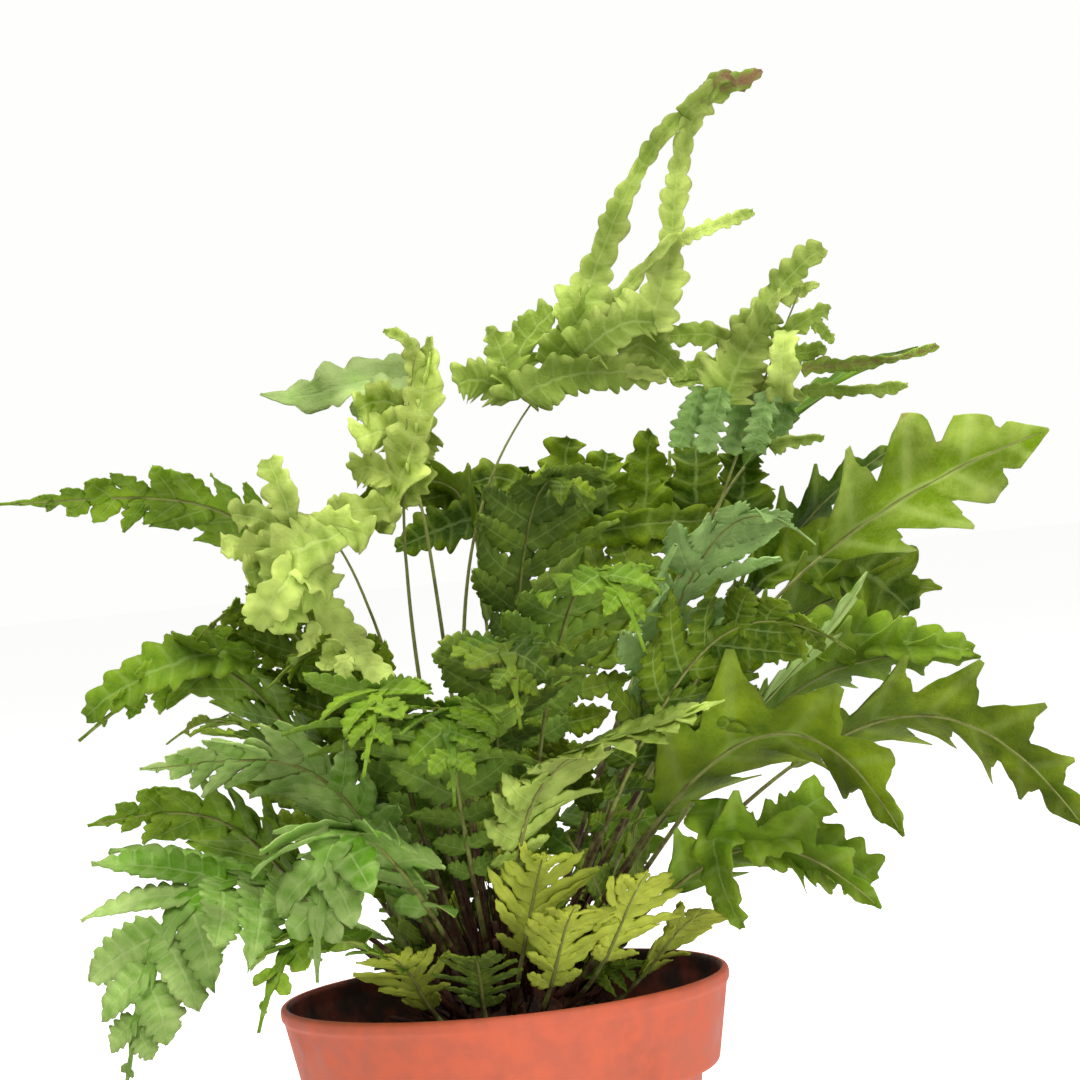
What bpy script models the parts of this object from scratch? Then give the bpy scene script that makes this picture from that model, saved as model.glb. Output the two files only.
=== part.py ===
"""A fern in a plastic nursery pot, as one solid for each piece.

Run it with blender --background --python part.py, or from Blender's text editor. The pot stands on
z = 0 with its middle on the Z axis, the front is -Y and the plant's right is +X. Sizes below are in
millimetres and angles in degrees.
"""

from bisect import bisect
from itertools import accumulate
from math import cos, hypot, pi, radians, sin, tan
from typing import NamedTuple

import bmesh
import bpy
from mathutils import Matrix, Vector, geometry

MM = 0.001

# The pot
POT_HEIGHT = 105.0
RIM_RADIUS = 60.0
COLLAR_DEPTH = 25.0
COLLAR_TAPER = 4.5
COLLAR_STEP = 5.0
BASE_RADIUS = 42.5
WALL = 1.5
LIP_THICKNESS = 2.4
LIP_DEPTH = 4.0
FOOT_WIDTH = 6.0
PAD_RADIUS = 18.0
FLOOR_RISE = 3.0
RAMP = 3.0
DRAIN_HOLES = 6
DRAIN_RADIUS = 4.5
FOOT_NOTCHES = 6
NOTCH_WIDTH = 7.0
TURN_STEPS = 48

# The soil and the crown that the stalks grow from
SOIL_BELOW_RIM = 12.0
SOIL_FALL = 2.5
CROWN_RADIUS = 22.0
CROWN_HEIGHT = 16.0
GAP = 0.3

# The fronds, whose tables are written for a crown of TABLE_CROWN and grow with it
PLANT_SCALE = 1.0
TABLE_CROWN = 22.0
FROND_SCALE = PLANT_SCALE * CROWN_RADIUS / TABLE_CROWN
STALK_WIDTH = 2.4
STALK_EDGE = 1.1
MIDRIB = 1.5
LEAF = 0.8
STALK_ROWS = 5


class Frond(NamedTuple):
    """A stalk that leaves the crown on one bearing and ends in a leafy blade.

    Bearings are angles about Z, with 0 at +X and 90 at +Y, and heights are above the soil. The
    stalk keeps its lean for `rise`, and the tip its heading and droop for `pull`.
    """

    name: str
    tip: tuple
    bearing: float
    lean: float
    rise: float
    heading: float
    droop: float
    pull: float
    blade: float
    width: float
    roll: float
    pairs: int
    shape: str
    colour: str


FRONDS = (
    Frond("frond_tall", (90, -10, 246), 186, 4, 182, -5, -62, 112, 112, 50, -62, 6, "whip", "lime"),
    Frond("frond_upper_right", (104, 10, 202), 8, 27, 94, 5, -60, 56, 96, 74, -55, 7, "ovate", "lime"),
    Frond("frond_strap", (138, 60, 172), 30, 24, 98, 22, 2, 60, 72, 26, 0, 6, "oblong", "leaf"),
    Frond("frond_right_upper", (120, 26, 145), 22, 33, 84, 10, -25, 44, 60, 38, -50, 5, "ovate", "dark"),
    Frond("frond_oak", (154, -30, 145), -11, 28, 100, -11, -15, 60, 68, 50, -60, 4, "oblong", "lime"),
    Frond("frond_right", (129, 24, 105), 16, 40, 82, 11, 12, 58, 80, 46, -50, 6, "ovate", "dark"),
    Frond("frond_right_lower", (136, 10, 86), 5, 41, 84, 4, 12, 55, 74, 42, -50, 6, "ovate", "leaf"),
    Frond("frond_right_pointed", (103, -38, 113), -17, 35, 77, -20, -55, 34, 48, 34, 0, 5, "ovate", "pale"),
    Frond("frond_olive", (106, -38, 45), -30, 36, 90, -19, 65, 50, 84, 66, -60, 5, "ovate", "dark"),
    Frond("frond_far_right", (156, -14, 40), -2, 46, 94, -6, 60, 68, 92, 40, -55, 6, "oblong", "dark"),
    Frond("frond_right_bottom", (98, -44, 28), -32, 50, 62, -22, 45, 42, 66, 54, -60, 5, "ovate", "leaf"),
    Frond("frond_crown_left", (-30, 38, 144), 82, 12, 138, 184, 15, 44, 70, 42, 45, 5, "ovate", "dark"),
    Frond("frond_crown_back", (60, 62, 150), 60, 17, 90, 82, -50, 48, 74, 60, 0, 6, "ovate", "dark"),
    Frond("frond_right_back", (80, 64, 118), 52, 32, 76, 68, -40, 48, 76, 48, -10, 6, "ovate", "dark"),
    Frond("frond_blue", (88, -70, 122), -30, 28, 104, -37, 42, 42, 78, 50, -20, 6, "ovate", "blue"),
    Frond("frond_front_right", (43, -99, 101), -64, 20, 112, -64, 65, 45, 80, 46, 0, 6, "ovate", "leaf"),
    Frond("frond_front", (12, -106, 86), -84, 22, 98, -86, 62, 45, 76, 46, 0, 6, "ovate", "dark"),
    Frond("frond_bright", (61, -90, 87), -82, 32, 85, -35, -15, 50, 84, 34, 20, 7, "oblong", "lime"),
    Frond("frond_front_low", (-5, -112, 70), -98, 33, 98, -92, 50, 52, 80, 52, 0, 7, "ovate", "leaf"),
    Frond("frond_mid_front", (-26, -104, 78), 240, 28, 96, 250, 55, 46, 72, 46, 0, 6, "ovate", "leaf"),
    Frond("frond_lime", (-64, -62, 141), 220, 14, 125, 205, 14, 45, 68, 58, 60, 5, "ovate", "lime"),
    Frond("frond_lime_upright", (-6, -10, 186), 194, 10, 104, 20, -75, 30, 58, 28, 70, 5, "oblong", "lime"),
    Frond("frond_back_pale", (-52, 40, 175), 128, 7, 160, 158, 8, 55, 72, 34, 60, 6, "ovate", "pale"),
    Frond("frond_long_left", (-120, -10, 152), 176, 16, 148, 185, -2, 72, 98, 36, 50, 7, "ovate", "leaf"),
    Frond("frond_left_inner", (-66, 10, 100), 166, 24, 86, 168, 35, 38, 62, 42, 50, 5, "ovate", "dark"),
    Frond("frond_left_front", (-52, -42, 98), 222, 22, 92, 219, 35, 40, 62, 42, 40, 5, "ovate", "dark"),
    Frond("frond_mid_left", (-70, -26, 112), 205, 21, 92, 208, 40, 36, 58, 40, 40, 5, "ovate", "dark"),
    Frond("frond_left", (-105, -12, 88), 188, 27, 112, 187, 35, 54, 90, 42, 55, 6, "ovate", "leaf"),
    Frond("frond_left_level", (-86, -42, 81), 232, 34, 88, 188, 0, 50, 84, 34, 45, 7, "oblong", "pale"),
    Frond("frond_left_low", (-104, -18, 66), 190, 50, 66, 188, 8, 52, 78, 50, 62, 6, "ovate", "leaf"),
    Frond("frond_left_hanging", (-94, -72, 2), 210, 44, 84, 214, 76, 60, 104, 74, -40, 8, "ovate", "pale"),
    Frond("frond_edge_left", (-58, -88, 18), 230, 54, 48, 238, 62, 38, 58, 40, -10, 5, "ovate", "leaf"),
    Frond("frond_front_left", (-42, -98, 30), 250, 44, 70, 250, 80, 60, 72, 72, -15, 6, "ovate", "pale"),
    Frond("frond_right_front", (96, -62, 94), -44, 33, 92, -33, 35, 48, 74, 48, -45, 6, "ovate", "dark"),
    Frond("frond_centre", (34, -62, 134), -62, 10, 115, -60, 50, 40, 66, 50, 0, 6, "ovate", "dark"),
    Frond("frond_back_right", (98, 78, 84), 42, 46, 70, 38, 25, 50, 86, 50, 0, 5, "ovate", "dark"),
    Frond("frond_back_right_low", (62, 112, 52), 64, 56, 58, 62, 35, 48, 84, 52, 0, 5, "ovate", "leaf"),
    Frond("frond_back", (6, 122, 74), 88, 44, 72, 87, 30, 50, 88, 54, 0, 5, "ovate", "dark"),
    Frond("frond_back_left_low", (-52, 112, 48), 116, 56, 58, 115, 38, 48, 84, 52, 0, 5, "ovate", "leaf"),
    Frond("frond_back_left", (-92, 74, 80), 142, 46, 70, 142, 28, 50, 86, 48, 0, 5, "ovate", "dark"),
)

YOUNG_LEAVES = (
    Frond("young_right", (40, -43, 43), -52, 68, 26, -48, -40, 16, 30, 26, -20, 3, "fan", "yellow"),
    Frond("young_front_right", (21, -52, 37), -73, 75, 22, -72, -20, 16, 30, 26, 0, 3, "fan", "yellow"),
    Frond("young_centre", (14, -42, 50), -84, 60, 28, -80, -30, 16, 30, 28, 0, 3, "fan", "yellow"),
    Frond("young_edge", (57, -17, 28), -16, 80, 18, -14, 0, 14, 28, 26, -30, 3, "fan", "yellow"),
    Frond("young_front", (-6, -48, 26), -100, 80, 14, -99, -10, 12, 22, 22, 0, 3, "fan", "dark"),
    Frond("young_left", (-28, -43, 28), -122, 78, 16, -124, -20, 14, 24, 24, 20, 3, "fan", "yellow"),
)

COLOURS = {
    "lime": (0.30, 0.46, 0.06),
    "leaf": (0.11, 0.27, 0.03),
    "dark": (0.05, 0.15, 0.015),
    "pale": (0.26, 0.42, 0.14),
    "blue": (0.16, 0.33, 0.13),
    "yellow": (0.34, 0.40, 0.03),
    "pot": (0.62, 0.14, 0.07),
    "soil": (0.03, 0.018, 0.008),
    "crown": (0.12, 0.05, 0.02),
}


def clear_scene():
    for obj in list(bpy.data.objects):
        bpy.data.objects.remove(obj, do_unlink=True)


def material(name, metallic=0.0, roughness=0.6):
    """The material with this colour's name, made once."""
    found = bpy.data.materials.get(name)
    if found:
        return found
    made = bpy.data.materials.new(name)
    made.use_nodes = True
    shader = made.node_tree.nodes["Principled BSDF"]
    shader.inputs["Base Color"].default_value = (*COLOURS[name], 1.0)
    shader.inputs["Metallic"].default_value = metallic
    shader.inputs["Roughness"].default_value = roughness
    return made


def add_object(name, bm, colour, smooth=False, roughness=0.6):
    """Turns a bmesh in millimetres into a named object in metres."""
    bmesh.ops.scale(bm, vec=(MM, MM, MM), verts=bm.verts)
    bmesh.ops.recalc_face_normals(bm, faces=bm.faces)
    mesh = bpy.data.meshes.new(name)
    bm.to_mesh(mesh)
    bm.free()
    mesh.shade_smooth() if smooth else mesh.shade_flat()
    mesh.materials.append(material(colour, roughness=roughness))
    obj = bpy.data.objects.new(name, mesh)
    bpy.context.scene.collection.objects.link(obj)
    return obj


def turned(profile, steps=TURN_STEPS):
    """A solid of revolution about Z whose (radius, height) outline starts and ends on the axis."""
    bm = bmesh.new()
    points = [bm.verts.new((radius, 0.0, height)) for radius, height in profile]
    edges = [bm.edges.new(pair) for pair in zip(points, points[1:])]
    bmesh.ops.spin(
        bm, geom=points + edges, cent=(0, 0, 0), axis=(0, 0, 1), angle=2 * pi,
        steps=steps, use_merge=True,
    )
    bmesh.ops.remove_doubles(bm, verts=bm.verts, dist=0.001)
    return bm


# The pot and what fills it

FOOT_INSIDE = BASE_RADIUS - FOOT_WIDTH
SHOULDER_HEIGHT = POT_HEIGHT - COLLAR_DEPTH
COLLAR_RADIUS = RIM_RADIUS - COLLAR_TAPER
BODY_RADIUS = COLLAR_RADIUS - COLLAR_STEP
SOIL_TOP = POT_HEIGHT - SOIL_BELOW_RIM
CROWN_BOTTOM = SOIL_TOP + GAP


def floor_outline(lift):
    """The stepped floor from the axis outwards, lifted by this much."""
    return [
        (0.0, lift),
        (PAD_RADIUS, lift),
        (PAD_RADIUS + RAMP, FLOOR_RISE + lift),
        (FOOT_INSIDE - RAMP, FLOOR_RISE + lift),
        (FOOT_INSIDE, lift),
    ]


def wall_radius(height, inset):
    """The collar wall's radius at a height, moved in by this much."""
    share = (height - SHOULDER_HEIGHT) / COLLAR_DEPTH
    return COLLAR_RADIUS + COLLAR_TAPER * share - inset


def lining_outline(clearance):
    """The inside of the pot from the axis up to the collar's ledge, with this much clearance."""
    inset = WALL + clearance
    ledge = SHOULDER_HEIGHT + inset
    return floor_outline(inset) + [
        (BASE_RADIUS - inset, inset),
        (BODY_RADIUS - inset, ledge),
        (wall_radius(ledge, inset), ledge),
    ]


def pot_outline():
    lip_bottom = POT_HEIGHT - LIP_DEPTH
    lip_edge = LIP_THICKNESS / 3
    outside = floor_outline(0.0) + [
        (BASE_RADIUS, 0.0),
        (BODY_RADIUS, SHOULDER_HEIGHT - WALL),
        (COLLAR_RADIUS - WALL / 2, SHOULDER_HEIGHT),
        (COLLAR_RADIUS, SHOULDER_HEIGHT + WALL / 2),
        (wall_radius(lip_bottom, 0.0), lip_bottom),
        (RIM_RADIUS, lip_bottom + lip_edge),
        (RIM_RADIUS, POT_HEIGHT - lip_edge),
        (RIM_RADIUS - lip_edge, POT_HEIGHT),
        (RIM_RADIUS - 2 * lip_edge, POT_HEIGHT),
        (RIM_RADIUS - LIP_THICKNESS, POT_HEIGHT - lip_edge),
        (wall_radius(lip_bottom, WALL), lip_bottom - lip_edge),
    ]
    return outside + lining_outline(0.0)[::-1]


def add_cutter(name, bm):
    """A hidden object whose shape a Boolean takes away."""
    cutter = add_object(name, bm, "pot")
    cutter.hide_render = True
    cutter.display_type = "WIRE"
    return cutter


def cut(obj, cutter):
    boolean = obj.modifiers.new(cutter.name, "BOOLEAN")
    boolean.operation = "DIFFERENCE"
    boolean.object = cutter


def drain_cutter():
    bm = bmesh.new()
    ring = (PAD_RADIUS + FOOT_INSIDE) / 2
    for hole in range(DRAIN_HOLES):
        bearing = 2 * pi * hole / DRAIN_HOLES
        place = Matrix.Translation((ring * cos(bearing), ring * sin(bearing), FLOOR_RISE))
        bmesh.ops.create_cone(
            bm, segments=16, cap_ends=True, radius1=DRAIN_RADIUS, radius2=DRAIN_RADIUS,
            depth=4 * WALL, matrix=place,
        )
    return add_cutter("drain_cutter", bm)


def notch_cutter():
    """Notches under the foot that let water run out."""
    bm = bmesh.new()
    for notch in range(FOOT_NOTCHES):
        turn = Matrix.Rotation(2 * pi * (notch + 0.5) / FOOT_NOTCHES, 4, "Z")
        place = turn @ Matrix.Translation((BASE_RADIUS - FOOT_WIDTH / 2, 0, 0))
        size = Matrix.Diagonal((3 * FOOT_WIDTH, NOTCH_WIDTH, WALL, 1))
        bmesh.ops.create_cube(bm, size=1, matrix=place @ size)
    return add_cutter("notch_cutter", bm)


def make_pot():
    pot = add_object("pot", turned(pot_outline()), "pot", roughness=0.45)
    cut(pot, drain_cutter())
    cut(pot, notch_cutter())


def make_soil():
    edge_height = SOIL_TOP - SOIL_FALL
    edge_radius = wall_radius(edge_height, WALL + GAP)
    top = [
        (edge_radius, edge_height),
        ((edge_radius + CROWN_RADIUS) / 2, SOIL_TOP - SOIL_FALL / 3),
        (CROWN_RADIUS, SOIL_TOP),
        (0.0, SOIL_TOP),
    ]
    add_object("soil", turned(lining_outline(GAP) + top), "soil", roughness=0.95)


def make_crown():
    """The clump of stalk bases, as a low dome on the soil."""
    rings = 6
    dome = [
        (CROWN_RADIUS * cos(pi / 2 * ring / rings), CROWN_HEIGHT * sin(pi / 2 * ring / rings))
        for ring in range(rings)
    ]
    outline = [(0.0, 0.0)] + dome + [(0.0, CROWN_HEIGHT)]
    bm = turned([(radius, CROWN_BOTTOM + height) for radius, height in outline], steps=24)
    add_object("crown", bm, "crown", roughness=0.9)


# The fronds

SWEEP = tan(radians(28))
SAG = 0.12
LOBE = ((0.0, 0.3), (0.3, 0.8), (0.62, 1.0))
CURVE_POINTS = 97

OUTLINES = {
    "ovate": lambda u: min(1.0, 0.55 + 1.6 * u) * (1 - u**1.5),
    "oblong": lambda u: min(1.0, 0.6 + 1.6 * u) * (1 - u**3),
    "fan": lambda u: min(1.0, 0.3 + 1.8 * u) * (1 - u**4),
    "whip": lambda u: max(0.1, (1 - (u / 0.5) ** 2) * min(1.0, 0.6 + 3 * u)),
}


def direction(bearing, elevation):
    """The unit vector at this bearing and angle above the horizontal, in degrees."""
    across = cos(radians(elevation))
    return Vector((
        across * cos(radians(bearing)), across * sin(radians(bearing)), sin(radians(elevation))
    ))


def stalk_start(frond):
    """The point just outside the crown's dome where the dome faces the way the stalk leans."""
    tilt = radians(frond.lean)
    radius, height = (CROWN_RADIUS + GAP) ** 2 * sin(tilt), (CROWN_HEIGHT + GAP) ** 2 * cos(tilt)
    size = hypot((CROWN_RADIUS + GAP) * sin(tilt), (CROWN_HEIGHT + GAP) * cos(tilt))
    place = direction(frond.bearing, 0) * radius / size
    place.z = CROWN_BOTTOM + height / size
    return place


class Spine:
    """A frond's midline, with its frame at any distance from the crown."""

    def __init__(self, frond):
        self.frond = frond
        tip = FROND_SCALE * Vector(frond.tip)
        tip.z += SOIL_TOP
        start = stalk_start(frond)
        rise = FROND_SCALE * frond.rise * direction(frond.bearing, 90 - frond.lean)
        pull = FROND_SCALE * frond.pull * direction(frond.heading, -frond.droop)
        self.points = geometry.interpolate_bezier(start, start + rise, tip - pull, tip, CURVE_POINTS)
        steps = [(b - a).length for a, b in zip(self.points, self.points[1:])]
        self.distances = [0.0, *accumulate(steps)]
        self.length = self.distances[-1]

    def at(self, distance):
        """The point, and the directions along, to the left and out of the upper face."""
        last = CURVE_POINTS - 2
        index = min(last, max(0, bisect(self.distances, distance) - 1))
        start, end = self.points[index], self.points[index + 1]
        share = (distance - self.distances[index]) / (end - start).length
        along = (end - start).normalized()
        done = distance / self.length
        turn = (self.frond.heading - self.frond.bearing + 180) % 360 - 180
        left = direction(self.frond.bearing + turn * done + 90, 0)
        left = (left - left.dot(along) * along).normalized()
        twist = Matrix.Rotation(radians(self.frond.roll) * done * done * (3 - 2 * done), 3, along)
        return start.lerp(end, share), along, twist @ left, twist @ along.cross(left)


def frond_rows(frond, length):
    """(distance, half width, thickness in the middle, thickness at the edge) for each cross row."""
    blade = min(FROND_SCALE * frond.blade, 0.85 * length)
    stalk = length - blade
    rows = []
    for row in range(STALK_ROWS):
        rows.append((stalk * row / STALK_ROWS, STALK_WIDTH / 2, STALK_WIDTH, STALK_EDGE))
    for pair in range(frond.pairs):
        for share, reach in LOBE:
            place = (pair + share) / frond.pairs
            half = FROND_SCALE * frond.width / 2 * reach * OUTLINES[frond.shape](place)
            rows.append((stalk + blade * place, max(half, STALK_WIDTH / 3), MIDRIB, LEAF))
    rows.append((length, LEAF / 2, LEAF, LEAF))
    return rows


def make_frond(frond):
    spine = Spine(frond)
    rows = frond_rows(frond, spine.length)
    bm = bmesh.new()
    bmesh.ops.create_grid(bm, x_segments=2, y_segments=len(rows) - 1, size=1)
    bm.verts.ensure_lookup_table()
    row_of = bm.verts.layers.int.new("row")
    side_of = bm.verts.layers.int.new("side")
    for index, vert in enumerate(bm.verts):
        vert[row_of] = index // 3
        vert[side_of] = index % 3 - 1
    bmesh.ops.extrude_face_region(bm, geom=bm.faces[:], use_keep_orig=True)
    bm.verts.ensure_lookup_table()
    lower = len(rows) * 3
    for index, vert in enumerate(bm.verts):
        distance, half, middle, edge = rows[vert[row_of]]
        side = vert[side_of]
        point, along, left, up = spine.at(distance)
        reach = abs(side) * half
        lift = (edge if side else middle) / 2
        if index < lower:
            lift = -lift
        vert.co = point - side * half * left + SWEEP * reach * along + (lift - SAG * reach) * up
    add_object(frond.name, bm, frond.colour, smooth=False)


def main():
    clear_scene()
    make_pot()
    make_soil()
    make_crown()
    for frond in FRONDS + YOUNG_LEAVES:
        make_frond(frond)


main()
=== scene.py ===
"""The looks of a potted fern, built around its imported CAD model.

The pot stands on z = 0 with its middle on the Z axis and its front towards -Y. Sizes are in
millimetres and angles in degrees unless a name says otherwise; meshes are scaled to metres last.
"""

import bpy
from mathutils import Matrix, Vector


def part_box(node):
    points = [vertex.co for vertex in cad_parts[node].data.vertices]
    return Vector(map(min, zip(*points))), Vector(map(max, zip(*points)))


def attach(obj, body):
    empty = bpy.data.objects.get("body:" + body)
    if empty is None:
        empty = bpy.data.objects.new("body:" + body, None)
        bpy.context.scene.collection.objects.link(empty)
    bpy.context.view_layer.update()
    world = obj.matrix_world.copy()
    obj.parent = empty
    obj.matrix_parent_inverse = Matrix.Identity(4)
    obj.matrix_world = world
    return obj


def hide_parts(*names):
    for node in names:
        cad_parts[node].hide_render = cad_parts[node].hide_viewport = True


bl_info = {
    "name": "Potted fern looks",
    "version": (1, 0, 0),
    "blender": (4, 5, 0),
    "location": "3D View > Sidebar > Fern",
    "description": "Builds the leaves, soil, pot and studio of a potted fern",
    "category": "Object",
}

from bisect import bisect
from itertools import accumulate
from math import cos, hypot, pi, radians, sin
from random import Random
from typing import NamedTuple

import bmesh
import bpy
from bpy.props import FloatProperty, FloatVectorProperty, IntProperty, PointerProperty
from mathutils import Matrix, Vector, geometry, noise

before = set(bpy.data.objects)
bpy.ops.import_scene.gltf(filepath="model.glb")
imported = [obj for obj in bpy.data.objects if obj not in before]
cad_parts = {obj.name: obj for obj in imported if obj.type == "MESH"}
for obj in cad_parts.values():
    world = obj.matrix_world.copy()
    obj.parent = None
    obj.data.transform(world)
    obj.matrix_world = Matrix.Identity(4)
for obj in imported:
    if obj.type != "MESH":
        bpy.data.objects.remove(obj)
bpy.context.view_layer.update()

MM = 0.001
GAP = 0.3
UP = Vector((0, 0, 1))
STALK_MATERIAL = 1


# Places taken from the frame, in millimetres

def box_mm(node):
    return tuple(Vector(corner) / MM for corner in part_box(node))


POT_LOW, POT_HIGH = box_mm("pot")
SOIL_LOW, SOIL_HIGH = box_mm("soil")
CROWN_LOW, CROWN_HIGH = box_mm("crown")
POT_HEIGHT = POT_HIGH.z
RIM_RADIUS = POT_HIGH.x
SOIL_TOP = SOIL_HIGH.z
CROWN_RADIUS = CROWN_HIGH.x
CROWN_HEIGHT = CROWN_HIGH.z - CROWN_LOW.z


class Frond(NamedTuple):
    """A stalk that leaves the crown on one bearing and ends in a leafy blade.

    Bearings are angles about Z, with 0 at +X and 90 at +Y, and heights are above the soil. The
    stalk keeps its lean for `rise`, and the tip its heading and droop for `pull`.
    """

    name: str
    tip: tuple
    bearing: float
    lean: float
    rise: float
    heading: float
    droop: float
    pull: float
    blade: float
    width: float
    roll: float
    pairs: int
    shape: str
    colour: str


def fronds(*rows):
    return tuple(Frond(*row) for row in rows)


FRONDS = fronds(
    ("frond_tall", (90, -10, 246), 186, 4, 182, -5, -62, 112, 112, 50, -62, 6, "ovate", "lime"),
    ("frond_upper_right", (104, 10, 202), 8, 27, 94, 5, -60, 56, 96, 74, -55, 7, "ovate", "lime"),
    ("frond_strap", (138, 60, 172), 30, 24, 98, 22, 2, 60, 72, 26, 0, 6, "oblong", "leaf"),
    ("frond_right_upper", (120, 26, 145), 22, 33, 84, 10, -25, 44, 60, 38, -50, 5, "ovate", "dark"),
    ("frond_oak", (154, -30, 145), -11, 28, 100, -11, -15, 60, 68, 50, -60, 4, "oblong", "lime"),
    ("frond_right", (129, 24, 105), 16, 40, 82, 11, 12, 58, 80, 46, -50, 6, "ovate", "dark"),
    ("frond_right_lower", (136, 10, 86), 5, 41, 84, 4, 12, 55, 74, 42, -50, 6, "ovate", "leaf"),
    ("frond_right_pointed", (103, -38, 113), -17, 35, 77, -20, -55, 34, 48, 34, 0, 5, "ovate", "pale"),
    ("frond_olive", (106, -38, 45), -30, 36, 90, -19, 65, 50, 84, 66, -60, 5, "ovate", "dark"),
    ("frond_far_right", (156, -14, 40), -2, 46, 94, -6, 60, 68, 92, 40, -55, 6, "oblong", "dark"),
    ("frond_right_bottom", (98, -44, 28), -32, 50, 62, -22, 45, 42, 66, 54, -60, 5, "ovate", "leaf"),
    ("frond_crown_left", (-30, 38, 144), 82, 12, 138, 184, 15, 44, 70, 42, 45, 5, "ovate", "dark"),
    ("frond_crown_back", (60, 62, 150), 60, 17, 90, 82, -50, 48, 74, 60, 0, 6, "ovate", "dark"),
    ("frond_right_back", (80, 64, 118), 52, 32, 76, 68, -40, 48, 76, 48, -10, 6, "ovate", "dark"),
    ("frond_blue", (88, -70, 122), -30, 28, 104, -37, 42, 42, 78, 50, -20, 6, "ovate", "blue"),
    ("frond_front_right", (43, -99, 101), -64, 20, 112, -64, 65, 45, 80, 46, 0, 6, "ovate", "leaf"),
    ("frond_front", (12, -106, 86), -84, 22, 98, -86, 62, 45, 76, 46, 0, 6, "ovate", "dark"),
    ("frond_bright", (61, -90, 87), -82, 32, 85, -35, -15, 50, 84, 34, 20, 7, "oblong", "lime"),
    ("frond_front_low", (-5, -112, 70), -98, 33, 98, -92, 50, 52, 80, 52, 0, 7, "ovate", "leaf"),
    ("frond_mid_front", (-26, -104, 78), 240, 28, 96, 250, 55, 46, 72, 46, 0, 6, "ovate", "leaf"),
    ("frond_lime", (-64, -62, 141), 220, 14, 125, 205, 14, 45, 68, 58, 60, 5, "ovate", "lime"),
    ("frond_lime_upright", (-6, -10, 186), 194, 10, 104, 20, -75, 30, 58, 28, 70, 5, "oblong", "lime"),
    ("frond_back_pale", (-52, 40, 175), 128, 7, 160, 158, 8, 55, 72, 34, 60, 6, "ovate", "pale"),
    ("frond_long_left", (-120, -10, 152), 176, 16, 148, 185, -2, 72, 98, 36, 50, 7, "ovate", "leaf"),
    ("frond_left_inner", (-66, 10, 100), 166, 24, 86, 168, 35, 38, 62, 42, 50, 5, "ovate", "dark"),
    ("frond_left_front", (-52, -42, 98), 222, 22, 92, 219, 35, 40, 62, 42, 40, 5, "ovate", "dark"),
    ("frond_mid_left", (-70, -26, 112), 205, 21, 92, 208, 40, 36, 58, 40, 40, 5, "ovate", "dark"),
    ("frond_left", (-105, -12, 88), 188, 27, 112, 187, 35, 54, 90, 42, 55, 6, "ovate", "leaf"),
    ("frond_left_level", (-86, -42, 81), 232, 34, 88, 188, 0, 50, 84, 34, 45, 7, "oblong", "pale"),
    ("frond_left_low", (-104, -18, 66), 190, 50, 66, 188, 8, 52, 78, 50, 62, 6, "ovate", "leaf"),
    ("frond_left_hanging", (-94, -72, 2), 210, 44, 84, 214, 76, 60, 104, 74, -40, 8, "ovate", "pale"),
    ("frond_edge_left", (-58, -88, 18), 230, 54, 48, 238, 62, 38, 58, 40, -10, 5, "ovate", "leaf"),
    ("frond_front_left", (-42, -98, 30), 250, 44, 70, 250, 80, 60, 72, 72, -15, 6, "ovate", "pale"),
    ("frond_right_front", (96, -62, 94), -44, 33, 92, -33, 35, 48, 74, 48, -45, 6, "ovate", "dark"),
    ("frond_centre", (34, -62, 134), -62, 10, 115, -60, 50, 40, 66, 50, 0, 6, "ovate", "dark"),
    ("frond_back_right", (98, 78, 84), 42, 46, 70, 38, 25, 50, 86, 50, 0, 5, "ovate", "dark"),
    ("frond_back_right_low", (62, 112, 52), 64, 56, 58, 62, 35, 48, 84, 52, 0, 5, "ovate", "leaf"),
    ("frond_back", (6, 122, 74), 88, 44, 72, 87, 30, 50, 88, 54, 0, 5, "ovate", "dark"),
    ("frond_back_left_low", (-52, 112, 48), 116, 56, 58, 115, 38, 48, 84, 52, 0, 5, "ovate", "leaf"),
    ("frond_back_left", (-92, 74, 80), 142, 46, 70, 142, 28, 50, 86, 48, 0, 5, "ovate", "dark"),
)

YOUNG_LEAVES = fronds(
    ("young_right", (40, -43, 43), -52, 68, 26, -48, -40, 16, 30, 26, -20, 3, "fan", "yellow"),
    ("young_front_right", (21, -52, 37), -73, 75, 22, -72, -20, 16, 30, 26, 0, 3, "fan", "yellow"),
    ("young_centre", (14, -42, 50), -84, 60, 28, -80, -30, 16, 30, 28, 0, 3, "fan", "yellow"),
    ("young_edge", (57, -17, 28), -16, 80, 18, -14, 0, 14, 28, 26, -30, 3, "fan", "yellow"),
    ("young_front", (-6, -48, 26), -100, 80, 14, -99, -10, 12, 22, 22, 0, 3, "fan", "dark"),
    ("young_left", (-28, -43, 28), -122, 78, 16, -124, -20, 14, 24, 24, 20, 3, "fan", "yellow"),
)


class Habit(NamedTuple):
    """How the leaflets of a frond grow.

    A frond with a `blade` above 0 is one lobed sheet, whose lobes are the blunter the nearer that
    is to 0. The others have separate leaflets, joined by a `wing` along the midrib.
    """

    blade: float
    more: float
    lobes: int
    depth: float
    fill: float
    base: float
    blunt: float
    slant: float
    droop: float
    fold: float
    quilt: float
    wing: float
    bend: float


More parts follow.
